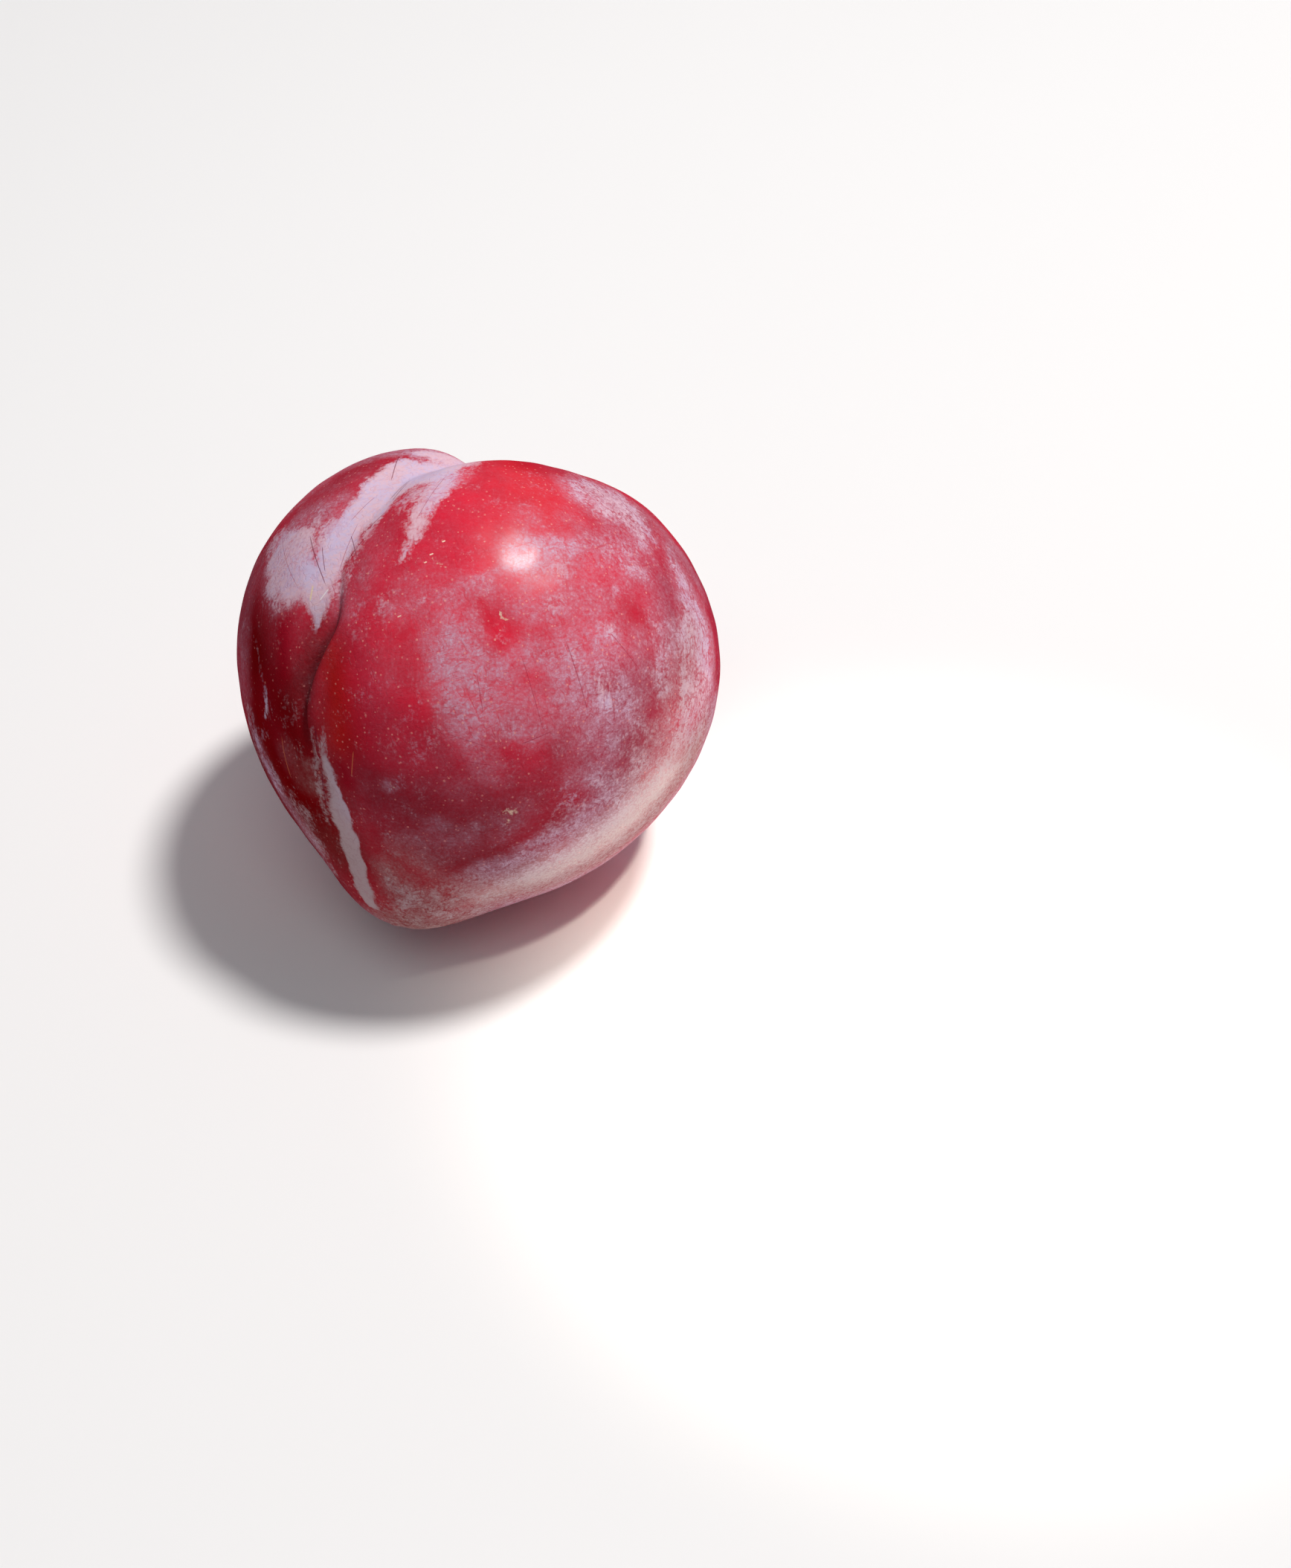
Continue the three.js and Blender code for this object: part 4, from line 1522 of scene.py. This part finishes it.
        # the film greys where shade is painted on it
        film_colour = sheet.mix(self.greyness, finish.film_colour, finish.film_in_painted_shade)
        colour = sheet.mix(thin, ground, film_colour)
        colour = sheet.mix(dots, colour, finish.dot_colour)
        colour = sheet.mix(thick, colour, self.wax_colour())
        colour = self.with_hairlines(self.with_cork(colour))
        clean = 1.0 - thick.most(thin)
        height = dots * finish.dot_relief + self.grain * finish.grain_relief - cracks * finish.crack_relief
        relief = {"Height": height, "Strength": finish.relief_strength, "Distance": finish.relief * MM}
        skin = {
            "Base Color": colour,
            "Roughness": sheet.rise(clean, 0.0, 1.0, finish.bloom_roughness, finish.clean_roughness),
            "Coat Weight": self.polish * (1.0 - thick),
            "Coat Roughness": finish.coat_roughness,
            "Coat IOR": finish.coat_ior,
            "Specular IOR Level": finish.specular,
            "Normal": sheet.read(sheet.add("Bump", relief), "Normal"),
        }
        sheet.join_output("OutputMaterial", sheet.add("BsdfPrincipled", skin))
        return self.material


def put_in_scene(name: str, data: bpy.types.ID) -> bpy.types.Object:
    """Makes an object and links it to the scene.

    Args:
        name: the object's name.
        data: its mesh, lamp or camera.

    Returns:
        The object.
    """
    thing = bpy.data.objects.new(name, data)
    bpy.context.scene.collection.objects.link(thing)
    return thing


@dataclass(frozen=True)
class PlumSkin:
    """The whole outside of the fruit, as one closed surface."""

    form: FruitForm
    relief: FineRelief
    paint: SkinPaint
    rows: int = 290
    columns: int = 340
    crowding: float = 0.45
    crowding_turn: float = 25.0
    pole_gap: float = 0.02

    def grid(self) -> tuple[Array, Array]:
        """Polar angles and turns of the grid's corners, without its two poles.

        Even turns are crowded towards one side, t - c (sin(t - s) + sin s), and bent so that
        one column runs along the crease.

        Returns:
            Two arrays of rows - 1 by columns, in degrees.
        """
        polar = np.arange(1, self.rows) * 180.0 / self.rows
        even = np.arange(self.columns) * 2.0 * np.pi / self.columns
        even = (even + np.pi) % (2.0 * np.pi) - np.pi
        side = math.radians(self.crowding_turn)
        crowded = np.degrees(even - self.crowding * (np.sin(even - side) + math.sin(side)))
        bend = self.form.crease_turn(polar)[:, None] * (1.0 + np.cos(even))[None, :] / 2.0
        turn = crowded[None, :] + bend
        return np.broadcast_to(polar[:, None], turn.shape), turn

    def corners(self) -> tuple[Array, Array]:
        """Directions and points of all corners, the stem pole first and the tip pole last.

        Returns:
            Unit vectors on the fruit, and places in metres as it lies.
        """
        polar, turn = self.grid()
        polar = np.concatenate([[self.pole_gap], polar.ravel(), [180.0 - self.pole_gap]])
        turn = np.concatenate([[0.0], turn.ravel(), [0.0]])
        radius = self.form.free_radius(polar, turn)
        radius = radius + self.relief.height(self.form, polar, turn, radius)
        aim = direction_of(polar, turn)
        return aim, self.form.place(aim * self.form.press(aim, radius)[:, None])

    def faces(self) -> tuple[Array, Array]:
        """Corner numbers of every face: quads between the rows, triangles at the poles.

        Returns:
            Arrays of four and of three corner numbers a face.
        """
        ring = np.arange(self.columns)
        after = (ring + 1) % self.columns
        row = 1 + np.arange(self.rows - 2)[:, None] * self.columns
        below = row + self.columns
        quads = np.stack([row + ring, below + ring, below + after, row + after], axis=-1)
        last = 1 + (self.rows - 2) * self.columns
        tip = last + self.columns
        stem_cap = np.stack([np.zeros_like(ring), 1 + ring, 1 + after], axis=-1)
        tip_cap = np.stack([np.full_like(ring, tip), last + after, last + ring], axis=-1)
        return quads.reshape(-1, 4), np.concatenate([stem_cap, tip_cap])

    def mesh(self) -> bpy.types.Mesh:
        """Makes the mesh and keeps the painted layers on its corners.

        Returns:
            The mesh.
        """
        aim, places = self.corners()
        quads, caps = self.faces()
        loops = np.concatenate([quads.ravel(), caps.ravel()]).astype(np.int32)
        sizes = np.concatenate([np.full(len(quads), 4), np.full(len(caps), 3)]).astype(np.int32)
        mesh = bpy.data.meshes.new("plum_skin")
        mesh.vertices.add(len(places))
        mesh.vertices.foreach_set("co", places.astype(np.float32).ravel())
        mesh.loops.add(len(loops))
        mesh.loops.foreach_set("vertex_index", loops)
        mesh.polygons.add(len(sizes))
        mesh.polygons.foreach_set("loop_start", (np.cumsum(sizes) - sizes).astype(np.int32))
        mesh.polygons.foreach_set("use_smooth", np.ones(len(sizes), bool))
        mesh.update(calc_edges=True)
        mesh.validate()
        for name, values in self.paint.layers(aim).items():
            self.store(mesh, name, values)
        log.info("skin: %d corners, %d triangles", len(places), 2 * len(quads) + len(caps))
        return mesh

    @staticmethod
    def store(mesh: bpy.types.Mesh, name: str, values: Array) -> None:
        """Keeps a number or a colour for each corner as an attribute of the mesh.

        Args:
            mesh: the mesh.
            name: the attribute's name.
            values: an array of numbers, or of linear colours.
        """
        if values.ndim == 1:
            layer = mesh.attributes.new(name, "FLOAT", "POINT")
            layer.data.foreach_set("value", values.astype(np.float32))
        else:
            layer = mesh.attributes.new(name, "FLOAT_COLOR", "POINT")
            rgba = np.concatenate([values, np.ones((len(values), 1))], axis=1)
            layer.data.foreach_set("color", rgba.astype(np.float32).ravel())

    def build(self, material: bpy.types.Material) -> bpy.types.Object:
        """Makes the piece, which stands for the solid and rides on its body.

        Args:
            material: the skin's material.

        Returns:
            The piece.
        """
        mesh = self.mesh()
        mesh.materials.append(material)
        piece = put_in_scene("plum_skin", mesh)
        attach(piece, "root")
        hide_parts("plum")
        return piece


@dataclass(frozen=True)
class Studio:
    """The pale floor, the soft light and the camera, in metres, watts and degrees."""

    middle: tuple[float, float, float] = (0.0, 0.0, 0.0282)
    floor_side: float = 4.0
    floor_drop: float = 0.0002
    floor_colour: Colour = (0.9, 0.9, 0.91)
    floor_clouds: Lumps = Lumps(6.0, 4.0)
    floor_shade: float = 0.98
    floor_roughness: float = 0.9
    key_aim: tuple[float, float, float] = (0.30, 0.22, 0.928)
    key_distance: float = 1.1
    key_diameter: float = 0.18
    key_power: float = 10.6
    key_colour: Colour = (1.0, 0.965, 0.93)
    fill_aim: tuple[float, float, float] = (0.05, -0.4, 0.91)
    fill_distance: float = 1.2
    fill_diameter: float = 0.8
    fill_power: float = 2.2
    pool_place: tuple[float, float, float] = (0.07, -0.022, 0.0)
    pool_from: tuple[float, float, float] = (0.22, -0.06, 0.5)
    pool_power: float = 21.0
    pool_cone: float = 13.0
    pool_softness: float = 0.02
    pool_colour: Colour = (1.0, 0.89, 0.75)
    sky_colour: Colour = (0.86, 0.92, 1.0)
    sky_strength: float = 0.18
    camera_azimuth: float = 13.8
    camera_elevation: float = 46.9
    camera_shift_right: float = 0.02119
    camera_shift_up: float = -0.01435
    camera_distance: float = 0.3
    camera_reach: tuple[float, float] = (0.01, 20.0)
    sensor_height: float = 36.0
    image_height: int = 2109
    focal_pixels: float = 3135.0

    def floor(self) -> bpy.types.Object:
        """Makes the floor, a flat sheet just under the fruit.

        Returns:
            The floor.
        """
        half = self.floor_side / 2.0
        outline = ((-half, -half), (half, -half), (half, half), (-half, half))
        mesh = bpy.data.meshes.new("floor")
        mesh.from_pydata([(x, y, -self.floor_drop) for x, y in outline], [], [(0, 1, 2, 3)])
        material = bpy.data.materials.new("pale_floor")
        sheet = NodeSheet.cleared(material)
        cloud = sheet.noise(sheet.read(sheet.add("TexCoord"), "Object"), self.floor_clouds)
        darker = tuple(self.floor_shade * part for part in self.floor_colour)
        colour = sheet.mix(cloud, self.floor_colour, darker)
        paper = {"Base Color": colour, "Roughness": self.floor_roughness}
        sheet.join_output("OutputMaterial", sheet.add("BsdfPrincipled", paper))
        mesh.materials.append(material)
        floor = put_in_scene("floor", mesh)
        log.info("floor: %.1f m a side", self.floor_side)
        return floor

    def lights(self) -> None:
        """Sets a key lamp, a weak wide one in front, a narrow one over the floor, and the sky."""
        self._disk("key", self.key_aim, self.key_distance, self.key_diameter, self.key_power)
        fill = self._disk("fill", self.fill_aim, self.fill_distance, self.fill_diameter, self.fill_power)
        fill.visible_glossy = False
        self._pool()
        world = bpy.data.worlds.new("sky")
        sheet = NodeSheet.cleared(world)
        sky = {"Color": (*self.sky_colour, 1.0), "Strength": self.sky_strength}
        sheet.join_output("OutputWorld", sheet.add("Background", sky))
        bpy.context.scene.world = world
        bpy.context.scene.view_settings.view_transform = "Standard"

    def _pool(self) -> bpy.types.Object:
        """Hangs a narrow lamp that lights only the floor at the right.

        The floor throws its warm light up at the underside of the right cheek.

        Returns:
            The lamp.
        """
        data = bpy.data.lights.new("bounce", "SPOT")
        data.energy = self.pool_power
        data.color = self.pool_colour
        data.spot_size = math.radians(self.pool_cone)
        data.spot_blend = 1.0
        data.shadow_soft_size = self.pool_softness
        lamp = put_in_scene("bounce", data)
        lamp.location = self.pool_from
        slant = Vector(self.pool_from) - Vector(self.pool_place)
        lamp.rotation_euler = slant.to_track_quat("Z", "Y").to_euler()
        return lamp

    def _disk(
        self, name: str, aim: Sequence[float], distance: float, diameter: float, power: float
    ) -> bpy.types.Object:
        """Hangs a round lamp that shines at the middle of the fruit.

        Args:
            name: the lamp's name.
            aim: direction from the fruit to the lamp.
            distance: how far away it hangs.
            diameter: its diameter.
            power: its power in watts.

        Returns:
            The lamp.
        """
        data = bpy.data.lights.new(name, "AREA")
        data.shape = "DISK"
        data.size = diameter
        data.energy = power
        data.color = self.key_colour
        lamp = put_in_scene(name, data)
        lamp.location = Vector(self.middle) + Vector(unit(aim)) * distance
        lamp.rotation_euler = Vector(aim).to_track_quat("Z", "Y").to_euler()
        return lamp

    def camera(self) -> bpy.types.Object:
        """Sets the camera above the fruit's tip side, looking down at it.

        Returns:
            The camera.
        """
        a, e = math.radians(self.camera_azimuth), math.radians(self.camera_elevation)
        back = Vector((math.sin(a) * math.cos(e), -math.cos(a) * math.cos(e), math.sin(e)))
        right = Vector((math.cos(a), math.sin(a), 0.0))
        up = back.cross(right)
        data = bpy.data.cameras.new("camera")
        data.sensor_fit = "VERTICAL"
        data.sensor_height = self.sensor_height
        data.lens = self.sensor_height * self.focal_pixels / self.image_height
        data.clip_start, data.clip_end = self.camera_reach
        camera = put_in_scene("camera", data)
        turn = Matrix((right, up, back)).transposed().to_4x4()
        spot = Vector(self.middle) + right * self.camera_shift_right + up * self.camera_shift_up
        camera.matrix_world = Matrix.Translation(spot + back * self.camera_distance) @ turn
        bpy.context.scene.camera = camera
        return camera


def main() -> None:
    """Loads the frame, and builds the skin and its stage."""
    logging.basicConfig(level=logging.INFO, format="%(name)s: %(message)s")
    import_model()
    studio = Studio()
    studio.camera()
    studio.floor()
    studio.lights()
    form = FruitForm()
    material = SkinShader(form, SkinFinish(), SharedEffects()).build()
    PlumSkin(form, FineRelief(), SkinPaint(form)).build(material)


if __name__ == "__main__":
    main()
